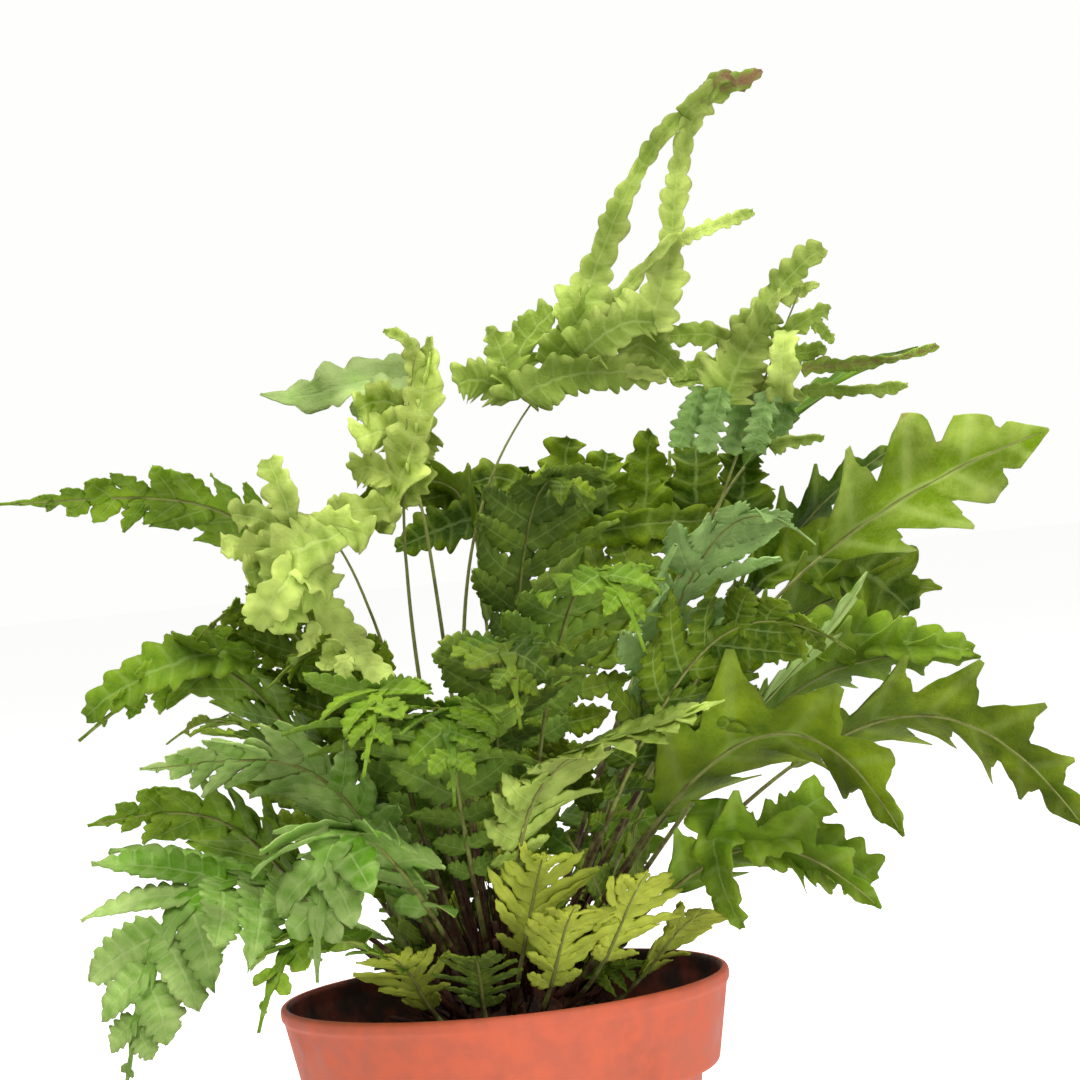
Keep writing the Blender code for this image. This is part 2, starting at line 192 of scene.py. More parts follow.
HABITS = {
    "lace": Habit(0, 1.35, 6, 0.44, 0.50, 0.80, 3.0, 0.45, 0.26, 0.16, 0.22, 0.13, 0.16),
    "comb": Habit(0, 1.70, 4, 0.34, 0.52, 0.90, 3.0, 0.40, 0.14, 0.10, 0.24, 0.44, 0.14),
    "paddle": Habit(0, 1.15, 4, 0.26, 0.52, 0.55, 5.0, 0.30, 0.26, 0.14, 0.20, 0.14, 0.10),
    "hanging": Habit(0, 1.15, 8, 0.34, 0.56, 0.80, 4.0, 0.40, 0.16, 0.12, 0.26, 0.10, 0.12),
    "fan": Habit(0, 2.4, 3, 0.48, 0.44, 0.45, 5.0, 0.35, 0.16, 0.12, 0.20, 0.24, 0.14),
    "oak": Habit(1.5, 1.0, 3, 0.26, 0.0, 0.0, 0.0, 0.60, 0.12, 0.18, 0.30, 0.34, 0.0),
    "strap": Habit(0.8, 1.0, 3, 0.14, 0.0, 0.0, 0.0, 0.80, 0.10, 0.12, 0.16, 0.46, 0.0),
}

HABIT_OF = {
    "frond_left_hanging": "hanging",
    "frond_oak": "oak",
    "frond_olive": "oak",
    "frond_crown_left": "oak",
    "frond_right": "oak",
    "frond_right_upper": "oak",
    "frond_right_lower": "oak",
    "frond_right_pointed": "strap",
    "frond_far_right": "oak",
    "frond_strap": "strap",
    "frond_right_bottom": "oak",
    "frond_front_left": "paddle",
    "frond_edge_left": "paddle",
    "frond_long_left": "comb",
    "frond_left_low": "comb",
    "frond_left_level": "comb",
    "frond_bright": "comb",
    "frond_back_right": "oak",
}

# How far a frond's colour lies from its shaded colour, 0, towards its sunlit one, 1: painted light and
# shade for each frond
FRESH_AND_LIT_OF = {
    "frond_oak": 0.15,
    "frond_bright": 0.25,
    "frond_left_hanging": 0.2,
    "frond_front_left": 0.1,
    "frond_far_right": 0.6,
    "frond_right": 0.5,
    "frond_right_lower": 0.4,
    "frond_right_bottom": 0.45,
    "frond_olive": 0.45,
    "frond_blue": 0.6,
    "frond_centre": 0.0,
    "frond_front": 0.0,
    "frond_front_right": 0.08,
    "frond_front_low": 0.15,
    "frond_crown_back": 0.4,
    "young_right": 0.6,
    "young_front_right": 0.5,
    "young_centre": 0.55,
    "young_edge": 0.6,
    "young_left": 0.5,
    "frond_right_pointed": 0.5,
}

# How far a frond's leaflets reach over its blade's width
REACH_OF = {"frond_front_left": 0.68, "frond_edge_left": 0.75, "frond_left_hanging": 0.92}

# A blade's half width at a share of its length, over its widest
OUTLINES = {
    "ovate": lambda u: min(1.0, 0.55 + 1.6 * u) * (1 - u**1.5),
    "oblong": lambda u: min(1.0, 0.6 + 1.6 * u) * (1 - u**3),
    "fan": lambda u: min(1.0, 0.3 + 1.8 * u) * (1 - u**4),
}


# Colours and settings

def shade(red, green, blue):
    """A display colour of 0 to 255 as the linear values that Blender stores."""
    return tuple(
        value / 255 / 12.92 if value < 11 else ((value / 255 + 0.055) / 1.055) ** 2.4
        for value in (red, green, blue)
    )


def colour(name, description, *display):
    return FloatVectorProperty(
        name=name, description=description, subtype="COLOR", size=3, min=0, max=1,
        default=shade(*display),
    )


class LeafSettings(bpy.types.PropertyGroup):
    """Sizes and colours of the fronds."""

    thickness: FloatProperty(
        name="Leaf thickness", description="Thickness of a leaflet, in metres",
        default=0.0004, min=0.0001, max=0.002, unit="LENGTH",
    )
    stalk_width: FloatProperty(
        name="Stalk width", description="Width of a stalk where it leaves the crown, in metres",
        default=0.0017, min=0.001, max=0.004, unit="LENGTH",
    )
    undergrowth: IntProperty(
        name="Undergrowth", description="Small fronds between the stalks",
        default=26, min=0, max=60,
    )
    # Each leaf colour comes as a pair: a sunlit colour, and a shaded one that carries painted shade.
    # Each leaf's tone mixes the two.
    lime_fresh: colour("Lime, fresh", "Sunlit part of a lime frond", 208, 226, 114)
    lime_deep: colour("Lime, deep", "Shaded part of a lime frond", 112, 142, 2)
    leaf_fresh: colour("Mid green, fresh", "Sunlit part of a mid-green frond", 140, 172, 40)
    leaf_deep: colour("Mid green, deep", "Shaded part of a mid-green frond", 78, 114, 6)
    dark_fresh: colour("Dark, fresh", "Sunlit part of a dark frond", 142, 166, 30)
    dark_deep: colour("Dark, deep", "Shaded part of a dark frond", 54, 84, 2)
    pale_fresh: colour("Pale, fresh", "Sunlit part of a pale frond", 186, 210, 126)
    pale_deep: colour("Pale, deep", "Shaded part of a pale frond", 94, 146, 14)
    blue_fresh: colour("Blue-green, fresh", "Sunlit part of a blue-green frond", 170, 204, 122)
    blue_deep: colour("Blue-green, deep", "Shaded part of a blue-green frond", 98, 138, 46)
    yellow_fresh: colour("Young, fresh", "Sunlit part of a young leaf", 206, 216, 70)
    yellow_deep: colour("Young, deep", "Shaded part of a young leaf", 136, 152, 14)
    stalk_green: colour("Stalk", "Upper part of a stalk", 138, 144, 72)
    stalk_brown: colour("Stalk foot", "Lower part of a stalk", 72, 42, 24)
    withered: colour("Withered", "Dry tips and edges", 150, 118, 84)


class PotSettings(bpy.types.PropertyGroup):
    """Sizes and colours of the pot."""

    wall: FloatProperty(
        name="Wall", description="Thickness of the pot's wall, in metres",
        default=0.0015, min=0.0005, max=0.003, unit="LENGTH",
    )
    steps: IntProperty(
        name="Steps", description="Faces around the pot", default=128, min=32, max=256,
    )
    plastic: colour("Plastic", "The pot's own colour", 212, 100, 68)
    # The second plastic colour is random stains on the outside of the pot, and painted shade on the
    # inside of the wall
    plastic_stain_and_shade: colour("Plastic, stained", "Plastic stained by damp soil", 140, 62, 44)
    # The lining colour is painted shade on the inside of the wall
    inner_wall_shade: colour("Lining", "Soil dried on the inside of the wall", 52, 32, 22)


class SoilSettings(bpy.types.PropertyGroup):
    """The potting soil and the crown of old stalk bases."""

    crumbs: IntProperty(
        name="Crumbs", description="Loose crumbs on the soil", default=420, min=0, max=900,
    )
    stubs: IntProperty(
        name="Stubs", description="Old stalk bases on the crown", default=70, min=0, max=200,
    )
    peat: colour("Peat", "Damp potting soil", 30, 22, 16)
    peat_dry: colour("Peat, dry", "Dry crumbs and fibres", 82, 58, 40)
    bark: colour("Crown", "Old stalk bases and scales", 84, 46, 28)


class StudioSettings(bpy.types.PropertyGroup):
    """The camera, lights and floor."""

    distance: FloatProperty(
        name="Distance", description="Camera to the pot's axis, in metres",
        default=0.9, min=0.3, max=3, unit="LENGTH",
    )
    height: FloatProperty(
        name="Height", description="Camera above the pot's rim, in metres",
        default=0.124, min=0, max=1, unit="LENGTH",
    )
    aside: FloatProperty(
        name="Aside", description="Camera to the right of the pot's axis, in metres",
        default=0.0208, min=-0.5, max=0.5, unit="LENGTH",
    )
    lens: FloatProperty(
        name="Lens", description="Focal length on a 36 mm sensor, in millimetres",
        default=112.5, min=20, max=300,
    )
    tilt: FloatProperty(
        name="Tilt", description="The camera's pitch", default=radians(-0.45), subtype="ANGLE",
    )
    roll: FloatProperty(
        name="Roll", description="The camera's roll", default=radians(5.5), subtype="ANGLE",
    )
    glow: FloatProperty(
        name="Floor glow", description="Light added to the floor where the camera sees it",
        default=0.56, min=0, max=1,
    )
    backdrop: colour("Backdrop", "Floor and background", 254, 254, 253)


# Meshes

def add_piece(name, bm, materials, slot, *nodes, smooth=True):
    """Turns a bmesh in millimetres into a piece that stands for these CAD nodes."""
    bmesh.ops.scale(bm, vec=(MM, MM, MM), verts=bm.verts)
    bmesh.ops.recalc_face_normals(bm, faces=bm.faces)
    mesh = bpy.data.meshes.new(name)
    bm.to_mesh(mesh)
    bm.free()
    if smooth:
        mesh.shade_smooth()
    for material in materials:
        mesh.materials.append(material)
    piece = bpy.data.objects.new(name, mesh)
    bpy.context.scene.collection.objects.link(piece)
    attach(piece, "root")
    if nodes:
        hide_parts(*nodes)
    return piece


class Spot(NamedTuple):
    """A point of a leaf, the way its upper face looks there, and what its material reads."""

    point: Vector
    normal: Vector
    fresh: float
    vein: tuple


def in_order(items):
    """Each item once, in the order given, as a set's own order changes from run to run."""
    return list(dict.fromkeys(items))


def leaf_mesh():
    bm = bmesh.new()
    bm.verts.layers.float_color.new("tone")
    bm.verts.layers.float_vector.new("vein")
    return bm


def add_sheet(bm, columns, rows, place, thickness, chance):
    """A closed thin sheet: place(across, along) gives the Spot, with across from -1 to 1.

    A negative thickness turns the sheet over.
    """
    tone, vein = bm.verts.layers.float_color["tone"], bm.verts.layers.float_vector["vein"]
    lower = bmesh.ops.create_grid(bm, x_segments=columns, y_segments=rows, size=1)["verts"]
    faces = in_order(face for vert in lower for face in vert.link_faces)
    grown = bmesh.ops.extrude_face_region(bm, geom=faces, use_keep_orig=True)["geom"]
    upper = [item for item in grown if isinstance(item, bmesh.types.BMVert)]
    for verts, lift, under in ((lower, -thickness / 2, 1.0), (upper, thickness / 2, 0.0)):
        for vert in verts:
            spot = place(vert.co.x, (vert.co.y + 1) / 2)
            vert.co = spot.point + lift * spot.normal
            vert[tone] = (spot.fresh, under, chance, 1.0)
            vert[vein] = spot.vein


def add_tube(bm, sides, rows, place):
    """A closed tube: place(along) gives its (centre, across, up, radius, fresh)."""
    tone = bm.verts.layers.float_color["tone"]
    verts = bmesh.ops.create_grid(bm, x_segments=sides, y_segments=rows, size=1)["verts"]
    for face in in_order(face for vert in verts for face in vert.link_faces):
        face.material_index = STALK_MATERIAL
    for vert in verts:
        turn = pi * (vert.co.x + 1)
        centre, across, up, radius, fresh = place((vert.co.y + 1) / 2)
        vert.co = centre + radius * (cos(turn) * across + sin(turn) * up)
        vert[tone] = (fresh, 0.0, 0.5, 1.0)
    bmesh.ops.remove_doubles(bm, verts=verts, dist=0.0001)
    edges = in_order(edge for vert in verts if vert.is_valid for edge in vert.link_edges)
    rims = [edge for edge in edges if edge.is_boundary]
    for face in bmesh.ops.edgeloop_fill(bm, edges=rims)["faces"]:
        face.material_index = STALK_MATERIAL


# Fronds

SPREAD = 1.2
CURVE_POINTS = 97
ROWS_PER_LOBE = 6
SWEEP = 28
MOST_BLADE = 0.85
LEAST_HALF_WIDTH = 0.3
STRIP_BOW = 9
STRIP_TWIST = 55
TURNED = 30


def direction(bearing, elevation):
    """The unit vector at this bearing and angle above the horizontal."""
    across = cos(radians(elevation))
    return Vector((
        across * cos(radians(bearing)), across * sin(radians(bearing)), sin(radians(elevation))
    ))


def stalk_start(frond):
    """The point just outside the crown's dome where the dome faces the way the stalk leans."""
    tilt = radians(frond.lean)
    wide, high = CROWN_RADIUS + GAP, CROWN_HEIGHT + GAP
    size = hypot(wide * sin(tilt), high * cos(tilt))
    place = direction(frond.bearing, 0) * wide**2 * sin(tilt) / size
    place.z = CROWN_LOW.z + high**2 * cos(tilt) / size
    return place


class Curve:
    """A Bezier curve with its frame at any distance from its start."""

    def __init__(self, start, start_handle, end_handle, end, bearing, heading, roll):
        self.bearing, self.turn = bearing, (heading - bearing + 180) % 360 - 180
        self.roll = roll
        self.points = geometry.interpolate_bezier(start, start_handle, end_handle, end, CURVE_POINTS)
        steps = [(b - a).length for a, b in zip(self.points, self.points[1:])]
        self.distances = [0.0, *accumulate(steps)]
        self.length = self.distances[-1]

    def at(self, distance):
        """The point, and the directions along, to the left and out of the upper face."""
        index = min(CURVE_POINTS - 2, max(0, bisect(self.distances, distance) - 1))
        start, end = self.points[index], self.points[index + 1]
        share = (distance - self.distances[index]) / (end - start).length
        before, after = self.points[max(0, index - 1)], self.points[min(CURVE_POINTS - 1, index + 2)]
        along = (start - before).lerp(after - end, share) + (end - start)
        along.normalize()
        done = distance / self.length
        left = direction(self.bearing + self.turn * done + 90, 0)
        left = (left - left.dot(along) * along).normalized()
        twist = Matrix.Rotation(radians(self.roll) * done * done * (3 - 2 * done), 3, along)
        return start.lerp(end, share), along, twist @ left, twist @ along.cross(left)


def frond_curve(frond):
    start = stalk_start(frond)
    tip = Vector(frond.tip) + SOIL_TOP * UP
    rise = frond.rise * direction(frond.bearing, 90 - frond.lean)
    pull = frond.pull * direction(frond.heading, -frond.droop)
    return Curve(
        start, start + rise, tip - pull, tip, frond.bearing, frond.heading, frond.roll
    )


def add_stalk(bm, curve, blade, reach, width):
    """The stalk, which goes on under the blade as its midrib for `reach` of the blade."""
    foot = curve.length - blade
    length = foot + reach * blade

    def place(along):
        distance = length * along
        centre, _, left, up = curve.at(distance)
        radius = width / 2 * (1 - 0.75 * along)
        if distance > foot:
            centre = centre - 0.5 * radius * up
        return centre, left, up, radius, min(1.0, 1.6 * along)

    add_tube(bm, 8, 40, place)


def add_leaflet(bm, habit, root, out, ahead, up, length, half, thickness, fresh, rng):
    """One leaflet with lobes down both edges."""
    bend = habit.bend * rng.uniform(0.3, 1.7)
    droop = habit.droop * rng.uniform(0.1, 1.9)
    fold = habit.fold * rng.uniform(0.2, 1.8)
    lobes = max(2, round(habit.lobes * min(1.0, length / (4 * half))))
    seed = rng.uniform(0, 100)

    def place(across, along):
        reach = abs(across)
        body = min(1.0, habit.base + 2.5 * along) * (1 - along**habit.blunt)
        lobe = abs(sin(pi * lobes * (along + 0.06 * across))) ** 0.5
        ragged = noise.noise(Vector((seed, 2.6 * lobes * along, 5 * across)))
        wide = max(LEAST_HALF_WIDTH, half * body * (1 - habit.depth * (1 - lobe)) * (1 + 0.2 * ragged))
        rise = fold * reach * wide - habit.quilt * half * body * (1 - lobe) * reach * (1.2 - reach)
        sink = length * droop * along * along
        wave = 0.07 * length * noise.noise(Vector((seed, 1.7 * along, across)))
        point = root + (length * along + habit.slant * reach * wide) * out
        point = point + (length * bend * along * along + across * wide) * ahead
        point = point + (rise - sink + wave * along) * up
        normal = (up + 2 * droop * along * out).normalized()
        # Tone: lighter towards the tip and edges, with painted shade in the notches between the lobes
        tip = fresh + 0.25 * along + 0.15 * reach - 0.35 * (1 - lobe)
        return Spot(point, normal, min(1.0, max(0.0, tip)), (across, lobes * along, along))

    add_sheet(bm, 5, ROWS_PER_LOBE * lobes, place, thickness, rng.random())


def add_wing(bm, frond, habit, curve, blade, pairs, thickness, fresh, rng):
    """The leafy strip along the midrib that joins the leaflets and ends in the frond's tip."""
    foot = curve.length - blade
    outline = OUTLINES[frond.shape]
    seed = rng.uniform(0, 100)

    def place(across, along):
        centre, ahead, left, up = curve.at(foot + blade * along)
        local = frond.width / 2 * outline(along)
        scallop = abs(sin(pi * pairs * along)) ** 0.6
        ragged = noise.noise(Vector((seed, 12 * along, 3 * across)))
        wide = habit.wing * local * (0.6 + 0.6 * scallop) * (1 + 0.25 * ragged)
        wide = max(0.4, min(wide + 1.6 * (1 - along), 0.35 * blade * (1 - along) + 0.4))
        reach = abs(across)
        point = centre + across * wide * left + 0.45 * reach * wide * ahead
        point = point + 0.12 * reach * wide * up
        # Tone: the frond's painted light and shade, lighter towards the tip
        return Spot(point, up, min(1.0, fresh + 0.3 * along), (across, pairs * along, along))

    add_sheet(bm, 5, 6 * pairs, place, thickness, rng.random())


def add_blade(bm, frond, habit, curve, blade, thickness, fresh, rng):
    """One sheet cut into pointed lobes, each with small teeth."""
    foot = curve.length - blade
    outline = OUTLINES[frond.shape]
    seed = rng.uniform(0, 100)

    def place(across, along):
        centre, ahead, left, up = curve.at(foot + blade * along)
        reach, side = abs(across), 0.12 if across > 0 else -0.12
        local = SPREAD * frond.width / 2 * outline(along)
        phase = frond.pairs * along + side
        peak = 1 - abs(2 * (phase % 1) - 1)
        uneven = 1 + 0.45 * noise.noise(Vector((seed, 7.3 * int(phase), 50 * side)))
        tooth = abs(sin(pi * habit.lobes * phase)) ** 0.7
        wide = local * (habit.wing + (1 - habit.wing) * peak**habit.blade) * uneven
        wide = wide * (1 - habit.depth * (1 - tooth)) + 0.5
        wide = max(LEAST_HALF_WIDTH, min(wide, 0.5 * blade * (1 - along) + 0.3))
        sag = habit.droop * (reach * wide) ** 2 / (local + 1)
        quilt = habit.quilt * wide * (1 - peak) * reach * (1.2 - reach)
        wave = noise.noise(Vector((seed, 0.09 * blade * along, 1.5 * across)))
        rise = habit.fold * reach * wide - sag - quilt + 0.10 * local * wave * reach
        point = centre + across * wide * left + habit.slant * reach * wide * ahead + rise * up
        # Tone: lighter at the lobe tips, with painted shade in the notches between the lobes
        tone = fresh + 0.35 * reach * peak - 0.15 * (1 - peak) + 0.15 * along
        return Spot(point, up, min(1.0, max(0.0, tone)), (across, phase, along))

    add_sheet(bm, 9, 12 * frond.pairs, place, thickness, rng.random())


def frond_mesh(frond, thickness, stalk_width):
    rng = Random(frond.name)
    habit = HABITS["fan"] if frond.shape == "fan" else HABITS[HABIT_OF.get(frond.name, "lace")]
    curve = frond_curve(frond)
    blade = min(frond.blade, MOST_BLADE * curve.length)
    foot = curve.length - blade
    # Each frond's share of its sunlit colour over its shaded one paints its light and shade
    fresh = FRESH_AND_LIT_OF.get(frond.name, rng.uniform(0.1, 0.35))
    if abs(frond.roll) > TURNED and curve.at(curve.length - blade / 2)[3].y > 0:
        thickness = -thickness
    bm = leaf_mesh()
    if frond.name in STRIPS_OF:
        reach, own = STRIPS_OF[frond.name]
        add_stalk(bm, curve, blade, reach, stalk_width)
        for strip in own:
            add_strip(bm, strip, thickness, rng)
        return bm
    add_stalk(bm, curve, blade, 0.97, stalk_width)
    for strip in MORE_STRIPS.get(frond.name, ()):
        add_strip(bm, strip, abs(thickness), rng)
    if habit.blade:
        add_blade(bm, frond, habit, curve, blade, thickness, fresh, rng)
        return bm
    pairs = round(habit.more * frond.pairs)
    add_wing(bm, frond, habit, curve, blade, pairs, thickness, fresh, rng)
    spacing = blade / pairs
    sparse = 0 if frond.shape == "fan" else int(0.45 * foot / spacing)
    for pair in range(-sparse, pairs):
        for side in (-1, 1):
            place = (pair + 0.30 + 0.08 * side + rng.uniform(-0.05, 0.05)) / pairs
            local = SPREAD * frond.width / 2 * OUTLINES[frond.shape](max(0.0, place + 0.4 / pairs))
            local = local * REACH_OF.get(frond.name, 1.0) * (1.0 if pair >= 0 else 0.72 ** -pair)
            length = local / cos(radians(SWEEP)) * rng.uniform(0.92, 1.08)
            half = min(habit.fill * spacing, 0.4 * length)
            root, ahead, left, up = curve.at(foot + blade * place)
            sweep = radians(SWEEP + 14 * place + rng.uniform(-7, 7))
            out = cos(sweep) * side * left + sin(sweep) * ahead
            across = cos(sweep) * ahead - sin(sweep) * side * left
            tilt = Matrix.Rotation(radians(rng.uniform(-30, 30)), 3, out)
            add_leaflet(
                bm, habit, root, out, tilt @ across, tilt @ up, length, half, thickness,
                fresh + 0.25 * place, rng,
            )
    return bm


class Strip(NamedTuple):
    """A single long leaflet on its own Bezier curve.

    Its four curve points are (x, height above the soil) at one depth, which is its y, and its
    widths are those at the start, middle and end.
    """

    depth: float
    start: tuple
    start_handle: tuple
    end_handle: tuple
    end: tuple
    widths: tuple
    roll: float
    fresh: float
    dry: float
    teeth: int


def strips(*rows):
    return tuple(Strip(*row) for row in rows)


TALL_STRIPS = strips(
    (-5, (18, 167), (14, 171), (9, 175), (3, 172), (10, 16, 8), -15, 0.25, 0.0, 7),
    (-8, (18, 166), (15, 178), (16, 182), (12, 186), (12, 14, 2), 25, 0.35, 0.0, 5),
    (-3, (19, 169), (18, 179), (23, 184), (30, 189), (12, 18, 6), -25, 0.1, 0.0, 6),
    (-8, (19, 167), (28, 172), (38, 173), (56, 170), (12, 16, 8), 15, -0.05, 0.0, 9),
    (-1, (28, 174), (33, 182), (37, 186), (42, 192), (14, 14, 8), 20, 0.2, 0.0, 6),
    (-10, (35, 176), (43, 182), (50, 185), (56, 183), (14, 18, 6), -20, 0.35, 0.0, 6),
    (-5, (46, 176), (55, 181), (57, 176), (63, 168), (14, 12, 3), 10, 0.15, 0.0, 5),
    (-11, (27, 168), (37, 171), (47, 173), (58, 168), (3, 6, 3), 30, 0.95, 0.0, 8),
    (-6, (34, 183), (47, 206), (53, 228), (72, 239), (17, 2.5, 5), 10, 0.55, 0.1, 12),
    (-7, (52, 181), (68, 198), (61, 222), (74, 239), (17, 3, 7), -15, 0.6, 0.1, 12),
    (-4, (41, 185), (47, 190), (56, 200), (65, 206), (7, 3, 4), -15, 0.65, 0.1, 6),
    (-8, (65, 204), (70, 206), (76, 207), (85, 210), (4, 4, 3), 0, 1.0, 0.5, 8),
    (-6, (69, 237), (76, 243), (81, 242), (91, 247), (7, 9, 2), 10, 0.4, 1.3, 4),
    (-7, (74, 239), (78, 246), (81, 248), (86, 242), (5, 6, 2), -20, 0.2, 1.5, 3),
)
UPRIGHT_STRIPS = strips(
    (-9, (-22, 135), (-11, 149), (-6, 168), (-3, 185), (12, 20, 4), -25, 0.8, 0.0, 9),
    (-11, (-12, 149), (-7, 158), (-5, 169), (-3, 181), (5, 8, 3), 40, 1.15, 0.0, 9),
    (-7, (-12, 167), (-15, 170), (-19, 171), (-24, 168), (12, 13, 8), -20, 0.85, 0.0, 3),
    (-7, (-12, 159), (-16, 162), (-20, 162), (-25, 160), (12, 14, 9), 10, 0.9, 0.0, 3),
    (-8, (-15, 148), (-19, 152), (-23, 154), (-27, 152), (10, 11, 8), -15, 0.95, 0.0, 3),
    (-8, (-17, 141), (-24, 141), (-30, 142), (-33, 141), (10, 11, 8), 20, 0.85, 0.0, 3),
    (-7, (-16, 142), (-12, 145), (-8, 148), (-7, 151), (9, 9, 5), -20, 0.75, 0.0, 3),
    (-8, (-11, 154), (-8, 157), (-6, 158), (-4, 159), (9, 9, 5), 15, 0.75, 0.0, 3),
    (-7, (-7, 172), (-8, 179), (-6, 185), (-15, 188), (8, 6, 2), 20, 0.85, 0.8, 5),
)
PALE_STRIPS = strips(
    (30, (-8, 169), (-22, 185), (-35, 169), (-52, 176), (20, 18, 1), 30, 1.2, 0.2, 5),
    (26, (-8, 170), (-14, 173), (-21, 171), (-26, 167), (15, 14, 5), 30, 1.1, 0.0, 4),
)
LIME_STRIPS = strips(
    (-48, (-29, 136), (-36, 132), (-41, 136), (-47, 125), (7, 24, 8), 15, 0.8, 0.0, 5),
    (-51, (-41, 134), (-40, 142), (-43, 149), (-45, 156), (8, 9, 8), -15, 0.7, 0.0, 4),
    (-49, (-39, 136), (-46, 138), (-51, 143), (-56, 143), (10, 11, 7), 20, 0.9, 0.0, 4),
    (-52, (-40, 132), (-47, 134), (-52, 135), (-59, 135), (10, 10, 6), -10, 1.0, 0.0, 4),
    (-49, (-41, 130), (-45, 131), (-50, 129), (-54, 128), (11, 11, 7), 20, 0.85, 0.0, 3),
    (-51, (-40, 129), (-45, 124), (-48, 120), (-53, 115), (12, 11, 6), -15, 0.8, 0.0, 4),
    (-49, (-39, 128), (-42, 121), (-44, 117), (-47, 112), (10, 10, 6), 15, 0.75, 0.0, 4),
    (-52, (-41, 129), (-37, 128), (-34, 125), (-32, 122), (10, 10, 6), -20, 0.85, 0.0, 3),
    (-50, (-41, 135), (-33, 139), (-27, 138), (-22, 134), (10, 13, 9), 20, 0.9, 0.0, 4),
    (-50, (-40, 124), (-33, 116), (-27, 103), (-20, 93), (9, 11, 7), -35, 1.2, 0.0, 9),
    (-53, (-36, 113), (-38, 112), (-40, 109), (-40, 107), (5, 6, 5), 10, 1.2, 0.0, 2),
    (-53, (-32, 109), (-34, 108), (-35, 105), (-36, 102), (5, 6, 5), -10, 1.2, 0.0, 2),
    (-53, (-29, 105), (-31, 104), (-31, 101), (-31, 98), (5, 6, 5), 10, 1.2, 0.0, 2),
)
RIGHT_STRIPS = strips(
    (8, (78, 173), (85, 183), (93, 194), (104, 200), (9, 11, 6), -15, 0.75, 0.05, 9),
    (6, (73, 160), (77, 169), (82, 177), (88, 184), (17, 17, 9), 15, 0.4, 0.0, 7),
    (6, (78, 176), (72, 181), (66, 180), (57, 180), (8, 9, 3), -20, 0.55, 0.0, 5),
    (6, (76, 169), (71, 172), (68, 172), (60, 168), (8, 8, 3), 20, 0.2, 0.0, 4),
    (8, (91, 187), (94, 188), (98, 190), (102, 190), (6, 5, 2), -15, 0.8, 0.0, 3),
    (8, (88, 176), (96, 180), (100, 183), (104, 183), (8, 7, 4), 20, 0.4, 0.0, 4),
    (7, (99, 180), (101, 179), (103, 177), (104, 174), (4, 4, 2), 0, 0.5, 0.0, 3),
    (3, (89, 159), (89, 166), (89, 173), (92, 178), (8, 10, 6), -15, 1.0, 0.0, 4),
    (6, (87, 171), (94, 173), (98, 172), (102, 173), (9, 8, 3), 10, 0.3, 0.0, 4),
    (9, (95, 168), (108, 169), (121, 167), (132, 171), (5, 3.5, 4), 40, 0.1, 0.1, 9),
    (8, (94, 162), (105, 162), (114, 160), (123, 161), (5, 3.5, 4), 40, 0.05, 0.0, 8),
    (4, (84, 148), (90, 149), (94, 149), (99, 149), (6, 4, 2), 20, 0.5, 0.3, 4),
    (6, (60, 167), (70, 170), (82, 167), (95, 160), (5, 7, 4), -20, 0.6, 0.0, 9),
)
HANGING_STRIPS = strips(
    (5, (68, 166), (66, 161), (63, 156), (60, 150), (7, 9, 6), -15, 0.8, 0.0, 6),
    (3, (73, 165), (71, 159), (69, 154), (67, 148), (7, 9, 6), 10, 0.7, 0.0, 6),
    (5, (79, 164), (78, 158), (76, 153), (74, 147), (7, 9, 6), -10, 0.85, 0.0, 6),
    (3, (85, 163), (84, 157), (82, 152), (80, 147), (7, 9, 6), 15, 0.7, 0.0, 6),
    (5, (91, 161), (89, 155), (88, 151), (86, 147), (6, 7, 4), -15, 0.8, 0.0, 5),
)
CROWN_LEFT_STRIPS = strips(
    (36, (18, 133), (5, 140), (-7, 134), (-19, 130), (16, 16, 5), 20, 0.35, 0.0, 8),
    (40, (20, 136), (8, 144), (-3, 145), (-12, 142), (16, 16, 6), 15, 0.45, 0.0, 6),
    (34, (23, 135), (17, 146), (12, 149), (3, 146), (16, 15, 5), 20, 0.55, 0.0, 5),
)
CROWN_BACK_STRIPS = strips(
    (46, (27, 129), (32, 139), (28, 148), (32, 156), (18, 17, 8), -20, 0.6, 0.0, 5),
    (52, (38, 128), (42, 138), (39, 145), (42, 151), (20, 20, 8), -10, 0.5, 0.0, 5),
    (44, (49, 127), (54, 137), (51, 148), (55, 155), (18, 19, 8), -25, 0.65, 0.0, 5),
    (50, (63, 127), (67, 135), (65, 144), (68, 152), (18, 18, 8), -15, 0.4, 0.0, 5),
    (48, (22, 128), (22, 137), (19, 143), (16, 149), (14, 14, 6), -10, 0.45, 0.0, 5),
    (48, (77, 129), (79, 134), (79, 143), (82, 148), (18, 18, 8), -15, 0.4, 0.0, 5),
    (46, (20, 127), (40, 131), (60, 131), (82, 128), (8, 12, 8), -15, 0.4, 0.0, 9),
)
RIGHT_LEAF_STRIPS = strips(
    (16, (78, 110), (93, 122), (109, 115), (119, 100), (16, 40, 10), -25, 0.65, 0.0, 7),
)
RIGHT_LOW_STRIPS = strips(
    (9, (77, 94), (93, 100), (114, 93), (134, 88), (14, 20, 6), -20, 0.7, 0.0, 8),
)
BOTTOM_RIGHT_STRIPS = strips(
    (-33, (61, 59), (55, 46), (59, 36), (63, 25), (16, 12, 4), 20, 0.5, 0.0, 5),
    (-36, (64, 48), (74, 47), (80, 55), (87, 57), (12, 20, 8), -20, 0.9, 0.0, 4),
    (-37, (67, 45), (79, 47), (89, 41), (97, 34), (14, 26, 9), -25, 0.7, 0.0, 6),
)
LEFT_STRIPS = strips(
    (-8, (-57, 107), (-71, 109), (-88, 105), (-103, 94), (14, 18, 7), 25, 0.35, 0.0, 8),
)

